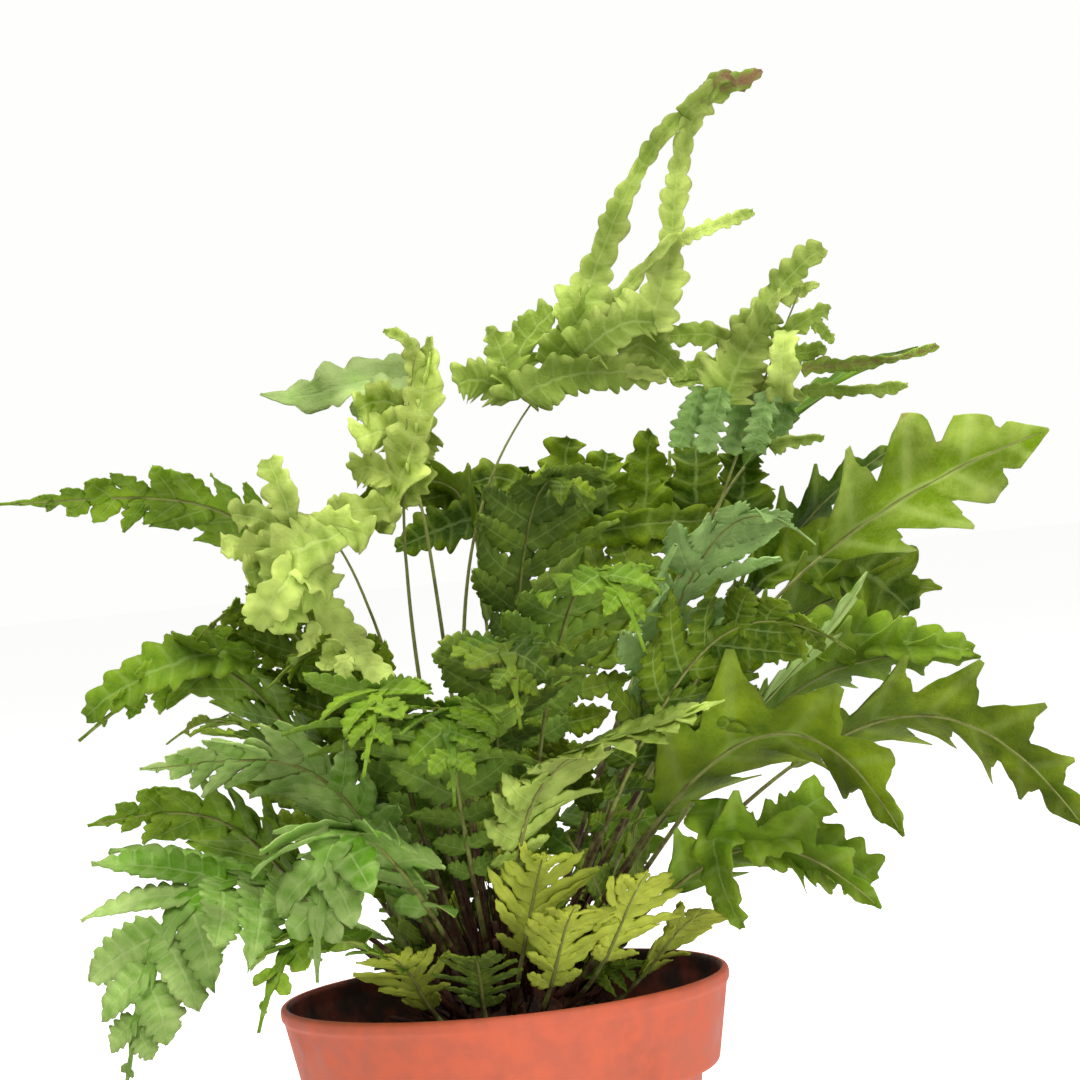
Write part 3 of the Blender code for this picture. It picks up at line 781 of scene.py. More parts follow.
# Fronds whose leafy part is set strip by strip, and how far the stalk goes on behind it
STRIPS_OF = {
    "frond_tall": (0.2, TALL_STRIPS),
    "frond_lime_upright": (0.95, UPRIGHT_STRIPS),
    "frond_back_pale": (0.85, PALE_STRIPS),
    "frond_lime": (0.7, LIME_STRIPS),
    "frond_upper_right": (0.85, RIGHT_STRIPS),
}

# Strips that come with the leaflets of a frond
MORE_STRIPS = {
    "frond_crown_left": CROWN_LEFT_STRIPS,
    "frond_crown_back": CROWN_BACK_STRIPS,
    "frond_right": RIGHT_LEAF_STRIPS,
    "frond_right_lower": RIGHT_LOW_STRIPS,
    "frond_right_bottom": BOTTOM_RIGHT_STRIPS,
    "frond_left": LEFT_STRIPS,
}


def add_strip(bm, strip, thickness, rng):
    """A wavy leaflet along its own curve, facing the front, dry towards its tip."""
    bow = rng.uniform(-STRIP_BOW, STRIP_BOW)
    points = [
        Vector((x, strip.depth + share * bow, SOIL_TOP + height))
        for share, (x, height) in zip((0, 1, 1, 0), strip[1:5])
    ]
    curve = Curve(*points, 0, 0, 0)
    start, middle, end = strip.widths
    seed = rng.uniform(0, 100)

    def place(across, along):
        centre, ahead, _, _ = curve.at(curve.length * along)
        wave = noise.noise(Vector((seed, 4 * along, 40)))
        turn = Matrix.Rotation(radians(strip.roll + STRIP_TWIST * wave), 3, ahead)
        left = turn @ ahead.cross(Vector((0, 1, 0))).normalized()
        up = ahead.cross(left)
        ragged = noise.noise(Vector((seed, 9 * along, 2 * across)))
        jitter = 0.06 * noise.noise(Vector((seed, 5 * along, 60 + 3 * across)))
        tooth = abs(sin(pi * strip.teeth * (along + jitter + 0.04 * across))) ** 0.6
        wide = start * (1 - along) ** 2 + 2 * middle * along * (1 - along) + end * along**2
        wide = wide / 2 * (1 + 0.55 * ragged) * (0.66 + 0.34 * tooth) * min(1, 6.5 - 6 * along)
        reach = abs(across)
        quilt = 0.35 * wide * (1 - tooth) * reach * (1.2 - reach)
        point = centre + across * max(LEAST_HALF_WIDTH, wide) * left + 0.4 * reach * wide * ahead
        point = point + (0.25 * reach * wide - quilt) * up
        # Tone: lighter towards the edges, with painted shade in the notches between the teeth
        fresh = strip.fresh - 0.2 + 0.6 * reach**2 - 0.5 * (1 - tooth)
        if strip.dry:
            fresh = fresh - strip.dry * max(0, along - 0.3)
        else:
            fresh = max(0.0, fresh)
        return Spot(point, up, fresh, (across, strip.teeth * along, along))

    add_sheet(bm, 5, 6 * strip.teeth + 12, place, thickness, rng.random())


def undergrowth(count):
    """Small dark fronds that fill the space behind and between the stalks."""
    rng = Random("undergrowth")
    made = []
    for index in range(count):
        bearing = rng.uniform(-25, 205)
        tip = rng.uniform(12, 46) * direction(bearing, 0) + rng.uniform(16, 84) * UP
        made.append(Frond(
            f"undergrowth_{index}", tuple(tip), bearing, rng.uniform(15, 60), 0.7 * tip.z, bearing,
            rng.uniform(-30, 50), 12, rng.uniform(26, 42), rng.uniform(20, 34),
            rng.uniform(-40, 40), 4, "ovate", "dark",
        ))
    return made


# Pot, soil and crown

def spun(outline, steps):
    """A solid of revolution about Z whose (radius, height) outline starts and ends on the axis."""
    bm = bmesh.new()
    points = [bm.verts.new((radius, 0.0, height)) for radius, height in outline]
    edges = [bm.edges.new(pair) for pair in zip(points, points[1:])]
    bmesh.ops.spin(
        bm, geom=points + edges, cent=(0, 0, 0), axis=UP, angle=2 * pi, steps=steps, use_merge=True,
    )
    bmesh.ops.remove_doubles(bm, verts=bm.verts, dist=0.001)
    return bm


def rounded(outline, radius, steps=4):
    """The outline with each corner between its ends turned into a small curve."""
    points = [Vector(point) for point in outline]
    curve = [points[0]]
    for before, corner, after in zip(points, points[1:], points[2:]):
        start = corner + (before - corner).normalized() * min(radius, (before - corner).length / 2.2)
        end = corner + (after - corner).normalized() * min(radius, (after - corner).length / 2.2)
        for step in range(steps + 1):
            share = step / steps
            curve.append(start.lerp(corner, share).lerp(corner.lerp(end, share), share))
    return [tuple(point) for point in curve + [points[-1]]]


COLLAR_DEPTH = 25.0
COLLAR_TAPER = 4.5
COLLAR_STEP = 5.0
BASE_RADIUS = 42.5
LIP_THICKNESS = 2.4
LIP_DEPTH = 4.0
FOOT_WIDTH = 6.0
PAD_RADIUS = 18.0
FLOOR_RISE = 3.0
RAMP = 3.0
DRAIN_HOLES = 6
DRAIN_RADIUS = 4.5
FOOT_NOTCHES = 6
NOTCH_WIDTH = 7.0
SOIL_FALL = 2.5
SOIL_INSET = 1.8
SOIL_STEPS = 128
SOIL_RINGS = 44
CRUMBS_PER_THREAD = 5
HAIRS_PER_STUB = 6
STUB_SINK = 1.5

FOOT_INSIDE = BASE_RADIUS - FOOT_WIDTH
SHOULDER_HEIGHT = POT_HEIGHT - COLLAR_DEPTH
COLLAR_RADIUS = RIM_RADIUS - COLLAR_TAPER
BODY_RADIUS = COLLAR_RADIUS - COLLAR_STEP


def floor_outline(lift):
    return [
        (0.0, lift),
        (PAD_RADIUS, lift),
        (PAD_RADIUS + RAMP, FLOOR_RISE + lift),
        (FOOT_INSIDE - RAMP, FLOOR_RISE + lift),
        (FOOT_INSIDE, lift),
    ]


def wall_radius(height, inset):
    """The collar wall's radius at a height, moved in by this much."""
    share = (height - SHOULDER_HEIGHT) / COLLAR_DEPTH
    return COLLAR_RADIUS + COLLAR_TAPER * share - inset


def lining_outline(inset):
    """The inside of the pot from the axis up to the collar's ledge."""
    ledge = SHOULDER_HEIGHT + inset
    return floor_outline(inset) + [
        (BASE_RADIUS - inset, inset),
        (BODY_RADIUS - inset, ledge),
        (wall_radius(ledge, inset), ledge),
    ]


def pot_outline(wall):
    """The wall from the axis under the floor, up the outside, over the lip and down the inside."""
    lip_bottom = POT_HEIGHT - LIP_DEPTH
    lip_edge = LIP_THICKNESS / 3
    outside = floor_outline(0.0) + [
        (BASE_RADIUS, 0.0),
        (BODY_RADIUS, SHOULDER_HEIGHT - wall),
        (COLLAR_RADIUS - wall / 2, SHOULDER_HEIGHT),
        (COLLAR_RADIUS, SHOULDER_HEIGHT + wall / 2),
        (wall_radius(lip_bottom, 0.0), lip_bottom),
        (RIM_RADIUS, lip_bottom + lip_edge),
        (RIM_RADIUS, POT_HEIGHT - lip_edge),
        (RIM_RADIUS - lip_edge, POT_HEIGHT),
        (RIM_RADIUS - 2 * lip_edge, POT_HEIGHT),
        (RIM_RADIUS - LIP_THICKNESS, POT_HEIGHT - lip_edge),
        (wall_radius(lip_bottom, wall), lip_bottom - lip_edge),
    ]
    return outside + lining_outline(wall)[::-1]


def hole_cutters():
    """Round drain holes through the floor and notches under the foot."""
    bm = bmesh.new()
    ring = (PAD_RADIUS + FOOT_INSIDE) / 2
    for hole in range(DRAIN_HOLES):
        place = Matrix.Rotation(2 * pi * hole / DRAIN_HOLES, 4, "Z")
        place = place @ Matrix.Translation((ring, 0, FLOOR_RISE))
        bmesh.ops.create_cone(
            bm, segments=32, cap_ends=True, radius1=DRAIN_RADIUS, radius2=DRAIN_RADIUS,
            depth=6, matrix=place,
        )
    for notch in range(FOOT_NOTCHES):
        turn = Matrix.Rotation(2 * pi * (notch + 0.5) / FOOT_NOTCHES, 4, "Z")
        place = turn @ Matrix.Translation((BASE_RADIUS - FOOT_WIDTH / 2, 0, 0))
        size = Matrix.Diagonal((3 * FOOT_WIDTH, NOTCH_WIDTH, 1.5, 1))
        bmesh.ops.create_cube(bm, size=1, matrix=place @ size)
    return bm


def cut_away(bm, cutters):
    """The first bmesh with the second one's solids taken away."""
    objects = []
    for name, source in (("whole", bm), ("cutters", cutters)):
        bmesh.ops.recalc_face_normals(source, faces=source.faces)
        mesh = bpy.data.meshes.new(name)
        source.to_mesh(mesh)
        source.free()
        objects.append(bpy.data.objects.new(name, mesh))
        bpy.context.scene.collection.objects.link(objects[-1])
    whole, tool = objects
    boolean = whole.modifiers.new("cut", "BOOLEAN")
    boolean.object = tool
    boolean.operation = "DIFFERENCE"
    result = bmesh.new()
    result.from_object(whole, bpy.context.evaluated_depsgraph_get())
    for obj in objects:
        bpy.data.objects.remove(obj, do_unlink=True)
    return result


def soil_height(x, y):
    """The lumpy surface of the soil, which falls a little towards the wall."""
    radius = hypot(x, y)
    fall = SOIL_FALL * max(0.0, (radius - CROWN_RADIUS) / (RIM_RADIUS - CROWN_RADIUS)) ** 1.5
    lumps = noise.fractal(Vector((x, y, 3)) * 0.11, 0.8, 2.1, 5)
    return SOIL_TOP - 0.8 - fall + 1.1 * lumps


def soil_mesh(crumbs):
    """The block of soil with a lumpy top, loose crumbs and thin root threads."""
    rng = Random("soil")
    edge = wall_radius(SOIL_TOP - SOIL_FALL, SOIL_INSET)
    top = [
        (edge * (SOIL_RINGS - ring) / SOIL_RINGS, SOIL_TOP) for ring in range(SOIL_RINGS + 1)
    ]
    bm = spun(lining_outline(SOIL_INSET) + top, SOIL_STEPS)
    for vert in bm.verts:
        if vert.co.z > SOIL_TOP - 0.01:
            vert.co.z = soil_height(vert.co.x, vert.co.y)
    for _ in range(crumbs):
        radius = (edge - 2) * rng.uniform(0.08, 1) ** 0.5
        spot = radius * direction(rng.uniform(0, 360), 0)
        spot.z = soil_height(spot.x, spot.y) + 0.2
        size = 0.5 + 1.5 * rng.random() ** 3
        turn = Matrix.Rotation(rng.uniform(0, 2 * pi), 4, Vector((rng.random(), rng.random(), 1)))
        squash = Matrix.Diagonal((size, size * rng.uniform(0.6, 1), size * rng.uniform(0.4, 0.8), 1))
        bmesh.ops.create_icosphere(
            bm, subdivisions=1, radius=1, matrix=Matrix.Translation(spot) @ turn @ squash
        )
    for _ in range(crumbs // CRUMBS_PER_THREAD):
        radius = (edge - 6) * rng.uniform(0.1, 1) ** 0.5
        spot = radius * direction(rng.uniform(0, 360), 0)
        spot.z = soil_height(spot.x, spot.y) + 0.6
        turn = Matrix.Rotation(rng.uniform(0, 2 * pi), 4, "Z")
        lean = Matrix.Rotation(radians(rng.uniform(78, 96)), 4, "Y")
        bmesh.ops.create_cone(
            bm, segments=4, cap_ends=True, radius1=0.3, radius2=0.12, depth=rng.uniform(4, 12),
            matrix=Matrix.Translation(spot) @ turn @ lean,
        )
    return bm


def crown_mesh(stubs):
    """A low clump of old stalk bases with hair-like scales between them."""
    rng = Random("crown")
    bm = bmesh.new()
    size = Matrix.Diagonal((CROWN_RADIUS, CROWN_RADIUS, CROWN_HEIGHT, 1))
    place = Matrix.Translation((0, 0, CROWN_LOW.z)) @ size
    bmesh.ops.create_icosphere(bm, subdivisions=5, radius=1, matrix=place)
    for vert in bm.verts:
        lump = noise.fractal(vert.co * 0.22, 0.9, 2.2, 4)
        vert.co += 1.2 * lump * (vert.co - CROWN_LOW.z * UP).normalized()
        vert.co.z = max(vert.co.z, CROWN_LOW.z - 1)
    for index in range((1 + HAIRS_PER_STUB) * stubs):
        stub = index < stubs
        lean = rng.uniform(3, 82)
        bearing = rng.uniform(0, 360)
        outwards = direction(bearing, 90 - lean)
        foot = Vector((
            outwards.x * CROWN_RADIUS, outwards.y * CROWN_RADIUS, outwards.z * CROWN_HEIGHT
        ))
        foot.z += CROWN_LOW.z
        tilt = direction(bearing + rng.uniform(-40, 40), 90 - 0.7 * lean + rng.uniform(-25, 25))
        length = rng.uniform(5, 17) if stub else rng.uniform(8, 42 - 0.35 * lean)
        wide = rng.uniform(0.9, 1.5) if stub else rng.uniform(0.25, 0.5)
        place = Matrix.Translation(foot + (0.5 * length - STUB_SINK) * tilt)
        turn = UP.rotation_difference(tilt).to_matrix().to_4x4()
        bmesh.ops.create_cone(
            bm, segments=6 if stub else 4, cap_ends=True, radius1=wide,
            radius2=wide * (0.75 if stub else 0.15), depth=length, matrix=place @ turn,
        )
    return bm


# Materials

def add_node(tree, kind, inputs=None, **settings):
    """A node with its settings, and with values or links on its inputs."""
    made = tree.nodes.new(kind)
    for name, value in settings.items():
        setattr(made, name, value)
    for key, value in (inputs or {}).items():
        if isinstance(value, bpy.types.NodeSocket):
            tree.links.new(value, made.inputs[key])
        else:
            made.inputs[key].default_value = value
    return made


def calculate(tree, operation, *values, clamp=False):
    made = add_node(
        tree, "ShaderNodeMath", dict(enumerate(values)), operation=operation, use_clamp=clamp
    )
    return made.outputs[0]


def mixed(tree, factor, first, second, mode="MIX"):
    made = add_node(
        tree, "ShaderNodeMix", {0: factor, 6: first, 7: second}, data_type="RGBA", blend_type=mode
    )
    return made.outputs[2]


def ramp(tree, value, low, high, to_low=0.0, to_high=1.0):
    """The value mapped smoothly from low..high to another range."""
    made = add_node(
        tree, "ShaderNodeMapRange",
        {"Value": value, "From Min": low, "From Max": high, "To Min": to_low, "To Max": to_high},
        interpolation_type="SMOOTHSTEP",
    )
    return made.outputs["Result"]


def new_group(name, inputs, outputs):
    """An empty node group with its sockets, and its two end nodes."""
    group = bpy.data.node_groups.new(name, "ShaderNodeTree")
    kinds = {"colour": "NodeSocketColor", "value": "NodeSocketFloat", "vector": "NodeSocketVector"}
    for names, side in ((inputs, "INPUT"), (outputs, "OUTPUT")):
        for socket, kind in names.items():
            group.interface.new_socket(socket, in_out=side, socket_type=kinds[kind])
    return group, group.nodes.new("NodeGroupInput").outputs, group.nodes.new("NodeGroupOutput").inputs


def noise_at(tree, vector, scale, detail=4.0, roughness=0.55):
    made = add_node(
        tree, "ShaderNodeTexNoise",
        {"Vector": vector, "Scale": scale, "Detail": detail, "Roughness": roughness},
    )
    return made.outputs["Fac"]


def leaf_surface_group():
    """Mottled leaf colour with ribs, dry edges and a paler underside."""
    group, given, result = new_group(
        "leaf_surface",
        {"Fresh": "colour", "Deep": "colour", "Rib": "colour", "Under": "colour", "Dry": "colour"},
        {"Colour": "colour", "Roughness": "value", "Height": "value"},
    )
    place = add_node(group, "ShaderNodeTexCoord").outputs["Object"]
    tone = add_node(group, "ShaderNodeAttribute", attribute_name="tone").outputs["Color"]
    tone = add_node(group, "ShaderNodeSeparateColor", {"Color": tone}).outputs
    vein = add_node(group, "ShaderNodeAttribute", attribute_name="vein").outputs["Vector"]
    vein = add_node(group, "ShaderNodeSeparateXYZ", {"Vector": vein}).outputs
    mottle = noise_at(group, place, 110.0)
    speckle = noise_at(group, place, 900.0, 2.0)
    cells = add_node(
        group, "ShaderNodeTexVoronoi", {"Vector": place, "Scale": 520.0}, feature="DISTANCE_TO_EDGE"
    )
    net = ramp(group, cells.outputs["Distance"], 0.0, 0.16, 1.0, 0.0)
    patch = calculate(group, "MULTIPLY_ADD", mottle, 1.5, -0.75)
    chance = calculate(group, "MULTIPLY_ADD", tone["Blue"], 0.4, -0.2)
    # The tone mixes the shaded colour towards the sunlit one: painted light and shade, with random
    # mottling
    fresh = calculate(group, "ADD", tone["Red"], calculate(group, "ADD", patch, chance), clamp=True)
    blade = mixed(group, fresh, given["Deep"], given["Fresh"])
    across = calculate(group, "ABSOLUTE", vein["X"])
    midrib = ramp(group, across, 0.03, 0.12, 1.0, 0.0)
    between = calculate(group, "FRACT", vein["Y"])
    between = calculate(group, "ABSOLUTE", calculate(group, "SUBTRACT", between, 0.5))
    side_rib = ramp(group, between, 0.03, 0.14, 0.6, 0.0)
    rib = calculate(group, "MAXIMUM", midrib, side_rib)
    lines = calculate(group, "MAXIMUM", calculate(group, "MULTIPLY", net, 0.22), rib)
    blade = mixed(group, calculate(group, "MULTIPLY", lines, 0.38), blade, given["Rib"])
    under = calculate(group, "MULTIPLY", tone["Green"], 0.2)
    blade = mixed(group, under, blade, given["Under"])
    dry = calculate(group, "MULTIPLY", tone["Red"], -2.2, clamp=True)
    edge = calculate(group, "MULTIPLY", ramp(group, across, 0.90, 1.0), ramp(group, mottle, 0.56, 0.7))
    dry = calculate(group, "MAXIMUM", dry, calculate(group, "MULTIPLY", edge, 0.55))
    blade = mixed(group, dry, blade, given["Dry"])
    blotch = ramp(group, noise_at(group, place, 45.0, 3.0), 0.35, 0.65, 0.3, 1.45)
    group.links.new(mixed(group, 0.5, blade, blotch, "MULTIPLY"), result["Colour"])
    rough = calculate(group, "MULTIPLY_ADD", speckle, 0.2, 0.45)
    group.links.new(calculate(group, "ADD", rough, under), result["Roughness"])
    grooves = calculate(group, "MULTIPLY_ADD", net, 0.45, rib)
    height = calculate(group, "MULTIPLY_ADD", grooves, -0.6, calculate(group, "MULTIPLY", speckle, 0.3))
    group.links.new(height, result["Height"])
    return group


def grain_group():
    """Two colours mixed by noise, with the noise as a height."""
    group, given, result = new_group(
        "grain",
        {"First": "colour", "Second": "colour", "Scale": "value", "Bias": "value"},
        {"Colour": "colour", "Roughness": "value", "Height": "value"},
    )
    place = add_node(group, "ShaderNodeTexCoord").outputs["Object"]
    coarse = noise_at(group, place, given["Scale"], 6.0, 0.6)
    fine = noise_at(group, place, calculate(group, "MULTIPLY", given["Scale"], 6.0), 3.0)
    spread = calculate(group, "ADD", ramp(group, coarse, 0.35, 0.65), given["Bias"], clamp=True)
    colour_out = mixed(group, spread, given["First"], given["Second"])
    shaded = mixed(group, 0.35, colour_out, ramp(group, fine, 0.3, 0.7, 0.5, 1.0), "MULTIPLY")
    group.links.new(shaded, result["Colour"])
    group.links.new(ramp(group, fine, 0.2, 0.8, 0.45, 0.8), result["Roughness"])
    height = calculate(group, "ADD", coarse, calculate(group, "MULTIPLY", fine, 0.4))
    group.links.new(height, result["Height"])
    return group


def group_named(name, make):
    return bpy.data.node_groups.get(name) or make()


def new_material(name, group, inputs, bump, **shader_values):
    """A material whose colour, roughness and bump come from a group; other values are plain."""
    material = bpy.data.materials.new(name)
    material.use_nodes = True
    tree = material.node_tree
    shader = tree.nodes["Principled BSDF"]
    surface = add_node(tree, "ShaderNodeGroup", node_tree=group)
    for key, value in inputs.items():
        surface.inputs[key].default_value = value
    relief = add_node(
        tree, "ShaderNodeBump",
        {"Height": surface.outputs["Height"], "Distance": bump, "Strength": 0.8},
    )
    tree.links.new(surface.outputs["Colour"], shader.inputs["Base Color"])
    tree.links.new(surface.outputs["Roughness"], shader.inputs["Roughness"])
    tree.links.new(relief.outputs["Normal"], shader.inputs["Normal"])
    for key, value in shader_values.items():
        shader.inputs[key.replace("_", " ")].default_value = value
    return material


def opaque(rgb):
    return (*rgb, 1.0)


def grain_material(name, first, second, scale, bias, bump, specular):
    """A material of two colours mixed by the grain."""
    return new_material(
        name, group_named("grain", grain_group),
        {"First": opaque(first), "Second": opaque(second), "Scale": scale, "Bias": bias},
        bump, Specular_IOR_Level=specular,
    )


def leaf_material(name):
    """The material of one leaf colour, made once, with some light let through."""
    found = bpy.data.materials.get("leaf_" + name)
    if found:
        return found
    settings = bpy.context.scene.fern_leaves
    # The first colour of the pair is the sunlit one, the second carries painted shade
    fresh, deep = (getattr(settings, f"{name}_{side}") for side in ("fresh", "deep"))
    pale = [0.55 * value + 0.45 * white for value, white in zip(fresh, shade(196, 214, 150))]
    material = new_material(
        "leaf_" + name, group_named("leaf_surface", leaf_surface_group),
        {
            "Fresh": opaque(fresh), "Deep": opaque(deep), "Rib": opaque(pale),
            "Under": opaque(pale), "Dry": opaque(settings.withered),
        },
        0.0003, Specular_IOR_Level=0.12,
    )
    tree = material.node_tree
    through = add_node(tree, "ShaderNodeBsdfTranslucent", {"Color": opaque(fresh)})
    both = add_node(tree, "ShaderNodeMixShader", {
        0: 0.22, 1: tree.nodes["Principled BSDF"].outputs[0], 2: through.outputs[0]
    })
    tree.links.new(both.outputs[0], tree.nodes["Material Output"].inputs["Surface"])
    return material


def stalk_material():
    """Stalks, brown at the foot and green higher up."""
    found = bpy.data.materials.get("stalk")
    if found:
        return found
    settings = bpy.context.scene.fern_leaves
    material = grain_material(
        "stalk", settings.stalk_green, settings.stalk_brown, 160.0, -0.2, 0.0002, 0.4
    )
    tree = material.node_tree
    surface = next(item for item in tree.nodes if item.type == "GROUP")
    tone = add_node(tree, "ShaderNodeAttribute", attribute_name="tone").outputs["Color"]
    tone = add_node(tree, "ShaderNodeSeparateColor", {"Color": tone}).outputs["Red"]
    tree.links.new(ramp(tree, tone, 0.0, 0.9, 0.7, -0.6), surface.inputs["Bias"])
    return material


# Operators

def make_fronds(chosen, nodes=lambda frond: (frond.name,)):
    """Builds the fronds, each in place of its CAD nodes."""
    settings = bpy.context.scene.fern_leaves
    thickness, stalk_width = settings.thickness / MM, settings.stalk_width / MM
    for frond in chosen:
        bm = frond_mesh(frond, thickness, stalk_width)
        materials = [leaf_material(frond.colour), stalk_material()]
        add_piece(frond.name + "_leaf", bm, materials, frond.colour, *nodes(frond))


class FERN_OT_fronds(bpy.types.Operator):
    """Build the full-grown fronds"""

    bl_idname = "fern.fronds"
    bl_label = "Fronds"

    def execute(self, context):
        make_fronds(FRONDS)
        return {"FINISHED"}


class FERN_OT_undergrowth(bpy.types.Operator):
    """Build the small fronds between the stalks and the leaflets that hang by themselves"""

    bl_idname = "fern.undergrowth"
    bl_label = "Undergrowth"

    def execute(self, context):
        settings = context.scene.fern_leaves
        make_fronds(undergrowth(settings.undergrowth), nodes=lambda frond: ())
        bm, rng = leaf_mesh(), Random("hanging")
        for strip in HANGING_STRIPS:
            add_strip(bm, strip, settings.thickness / MM, rng)
        add_piece("hanging_leaflets", bm, [leaf_material("blue")], "blue")
        return {"FINISHED"}


class FERN_OT_young_leaves(bpy.types.Operator):
    """Build the young leaves over the soil"""

    bl_idname = "fern.young_leaves"
    bl_label = "Young leaves"

    def execute(self, context):
        make_fronds(YOUNG_LEAVES)
        return {"FINISHED"}


class FERN_OT_pot(bpy.types.Operator):
    """Build the plastic pot"""

    bl_idname = "fern.pot"
    bl_label = "Pot"

    def execute(self, context):
        settings = context.scene.fern_pot
        outline = rounded(pot_outline(settings.wall / MM), 0.9)
        bm = cut_away(spun(outline, settings.steps), hole_cutters())
        plastic = grain_material(
            "pot_plastic", settings.plastic, settings.plastic_stain_and_shade, 26.0, -0.75, 0.00008, 0.5
        )
        # The inside of the wall: painted shade in dark plastic and a darker brown
        stained_and_shaded = grain_material(
            "pot_stained", settings.plastic_stain_and_shade, settings.inner_wall_shade, 60.0, 0.2, 0.0002, 0.3
        )
        piece = add_piece("pot_shell", bm, [plastic, stained_and_shaded], "pot", "pot", smooth=False)
        # Inward faces above the floor take the painted shade material
        for face in piece.data.polygons:
            outwards = face.normal.xy.dot(face.center.xy.normalized())
            face.material_index = int(outwards < -0.5 and face.center.z > FLOOR_RISE * MM)
        piece.data.shade_smooth()
        piece.data.set_sharp_from_angle(angle=radians(40))
        return {"FINISHED"}


class FERN_OT_soil(bpy.types.Operator):
    """Build the potting soil"""

    bl_idname = "fern.soil"
    bl_label = "Soil"

    def execute(self, context):
        settings = context.scene.fern_soil
        peat = grain_material(
            "peat", settings.peat, settings.peat_dry, 220.0, -0.25, 0.0012, 0.2
        )
        add_piece("soil_block", soil_mesh(settings.crumbs), [peat], "soil", "soil", smooth=False)
        return {"FINISHED"}


class FERN_OT_crown(bpy.types.Operator):
    """Build the crown of old stalk bases"""

    bl_idname = "fern.crown"
    bl_label = "Crown"

    def execute(self, context):
        settings = context.scene.fern_soil
        bark = grain_material(
            "crown_bark", settings.bark, settings.peat, 320.0, -0.1, 0.0008, 0.25
        )
        add_piece("crown_clump", crown_mesh(settings.stubs), [bark], "crown", "crown")
        return {"FINISHED"}


def add_light(name, place, aim, size, energy):
    lamp = bpy.data.lights.new(name, "AREA")
    lamp.size = size
    lamp.energy = energy
    light = bpy.data.objects.new(name, lamp)
    light.location = place
    light.rotation_euler = (Vector(aim) - Vector(place)).to_track_quat("-Z", "Y").to_euler()
    bpy.context.scene.collection.objects.link(light)


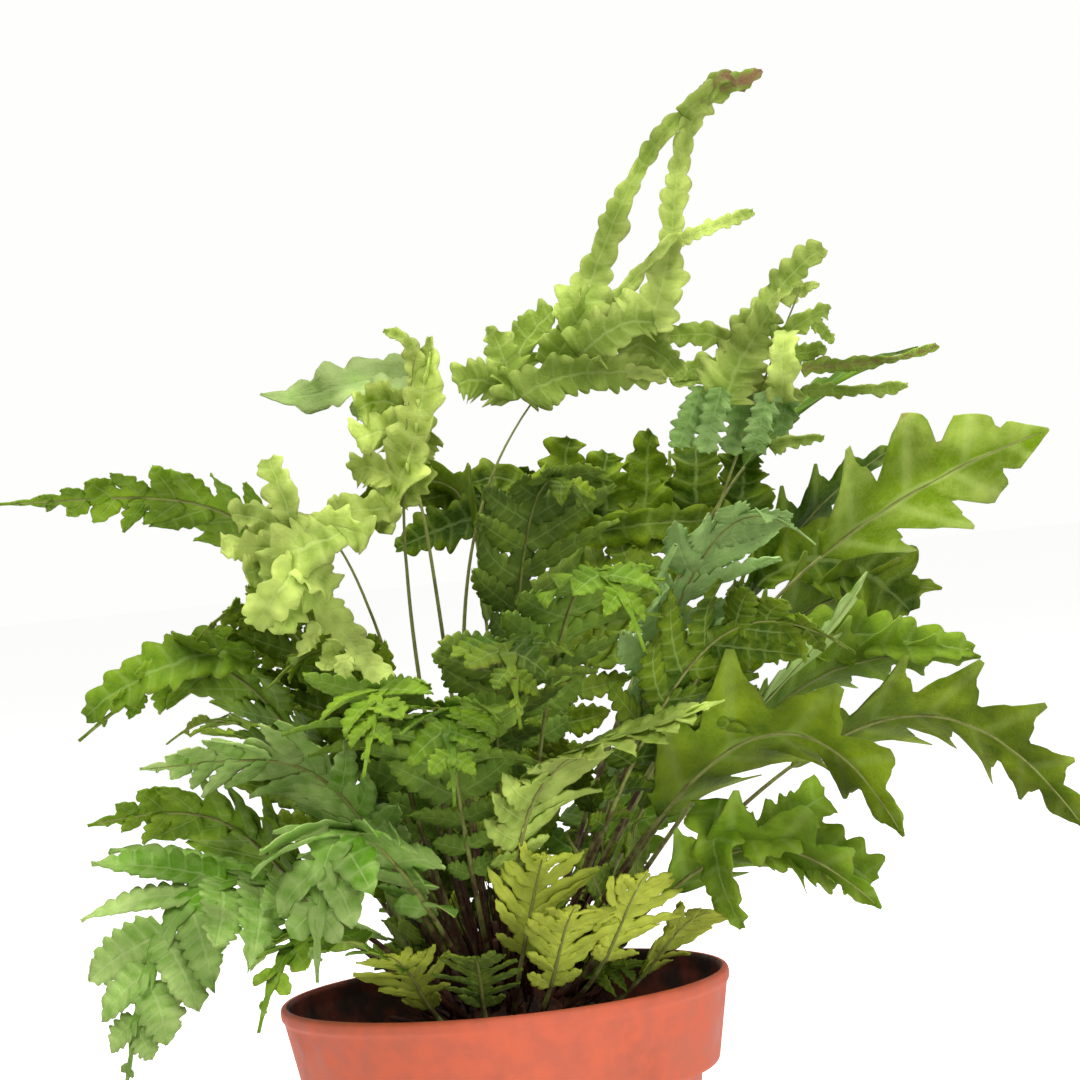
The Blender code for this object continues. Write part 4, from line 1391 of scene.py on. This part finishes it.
class FERN_OT_studio(bpy.types.Operator):
    """Build the floor, lights and camera"""

    bl_idname = "fern.studio"
    bl_label = "Studio"

    def execute(self, context):
        settings = context.scene.fern_studio
        self.add_floor(settings)
        self.add_world(settings)
        add_light("light_key", (-0.5, -0.7, 1.6), (0, 0, 0.2), 0.7, 19)
        add_light("light_top", (0.3, 0.2, 1.7), (0, 0, 0.2), 1.0, 15)
        add_light("light_fill", (0.9, -1.3, 0.7), (0, 0, 0.2), 1.0, 9)
        self.add_camera(settings)
        context.scene.view_settings.view_transform = "Standard"
        return {"FINISHED"}

    def add_floor(self, settings):
        bm = bmesh.new()
        bmesh.ops.create_circle(bm, segments=96, radius=12, cap_ends=True)
        mesh = bpy.data.meshes.new("floor")
        bm.to_mesh(mesh)
        bm.free()
        paint = bpy.data.materials.new("floor_paint")
        paint.use_nodes = True
        shader = paint.node_tree.nodes["Principled BSDF"]
        shader.inputs["Base Color"].default_value = opaque(settings.backdrop)
        shader.inputs["Roughness"].default_value = 0.9
        shader.inputs["Emission Color"].default_value = opaque(settings.backdrop)
        seen = add_node(paint.node_tree, "ShaderNodeLightPath").outputs["Is Camera Ray"]
        glow = calculate(paint.node_tree, "MULTIPLY", seen, settings.glow)
        paint.node_tree.links.new(glow, shader.inputs["Emission Strength"])
        mesh.materials.append(paint)
        floor = bpy.data.objects.new("floor", mesh)
        bpy.context.scene.collection.objects.link(floor)

    def add_world(self, settings):
        """A white background that lights the plant less brightly than it looks."""
        world = bpy.data.worlds.new("studio_world")
        bpy.context.scene.world = world
        world.use_nodes = True
        tree = world.node_tree
        seen = tree.nodes["Background"]
        seen.inputs["Color"].default_value = opaque(settings.backdrop)
        seen.inputs["Strength"].default_value = 1.0
        light = add_node(tree, "ShaderNodeBackground", {"Color": (1, 1, 1, 1), "Strength": 0.42})
        straight = add_node(tree, "ShaderNodeLightPath").outputs["Is Camera Ray"]
        both = add_node(tree, "ShaderNodeMixShader", {
            0: straight, 1: light.outputs[0], 2: seen.outputs[0]
        })
        tree.links.new(both.outputs[0], tree.nodes["World Output"].inputs["Surface"])

    def add_camera(self, settings):
        data = bpy.data.cameras.new("camera")
        data.lens = settings.lens
        data.sensor_width = 36
        camera = bpy.data.objects.new("camera", data)
        ahead = Vector((0, cos(settings.tilt), sin(settings.tilt)))
        upright = Vector((0, -sin(settings.tilt), cos(settings.tilt)))
        turn = Matrix.Rotation(settings.roll, 3, ahead)
        right, upright = turn @ Vector((1, 0, 0)), turn @ upright
        axes = Matrix((right, upright, -ahead)).transposed().to_4x4()
        place = (settings.aside, -settings.distance, POT_HEIGHT * MM + settings.height)
        camera.matrix_world = Matrix.Translation(place) @ axes
        bpy.context.scene.collection.objects.link(camera)
        bpy.context.scene.camera = camera


OPERATORS = (
    FERN_OT_pot,
    FERN_OT_soil,
    FERN_OT_crown,
    FERN_OT_fronds,
    FERN_OT_undergrowth,
    FERN_OT_young_leaves,
    FERN_OT_studio,
)


class FERN_PT_panel(bpy.types.Panel):
    """The fern's settings and the buttons that build its pieces"""

    bl_idname = "FERN_PT_panel"
    bl_label = "Potted fern"
    bl_space_type = "VIEW_3D"
    bl_region_type = "UI"
    bl_category = "Fern"

    def draw(self, context):
        for group in SETTINGS:
            box = self.layout.box()
            settings = getattr(context.scene, group)
            for name in settings.bl_rna.properties.keys():
                if name not in ("rna_type", "name"):
                    box.prop(settings, name)
        for operator in OPERATORS:
            self.layout.operator(operator.bl_idname)


SETTINGS = {
    "fern_leaves": LeafSettings,
    "fern_pot": PotSettings,
    "fern_soil": SoilSettings,
    "fern_studio": StudioSettings,
}


def register():
    for group in SETTINGS.values():
        bpy.utils.register_class(group)
    for name, group in SETTINGS.items():
        setattr(bpy.types.Scene, name, PointerProperty(type=group))
    for kind in (*OPERATORS, FERN_PT_panel):
        bpy.utils.register_class(kind)


def unregister():
    for kind in reversed((*OPERATORS, FERN_PT_panel)):
        bpy.utils.unregister_class(kind)
    for name, group in SETTINGS.items():
        delattr(bpy.types.Scene, name)
        bpy.utils.unregister_class(group)


def main():
    register()
    for operator in OPERATORS:
        group, name = operator.bl_idname.split(".")
        getattr(getattr(bpy.ops, group), name)()


if __name__ == "__main__":
    main()
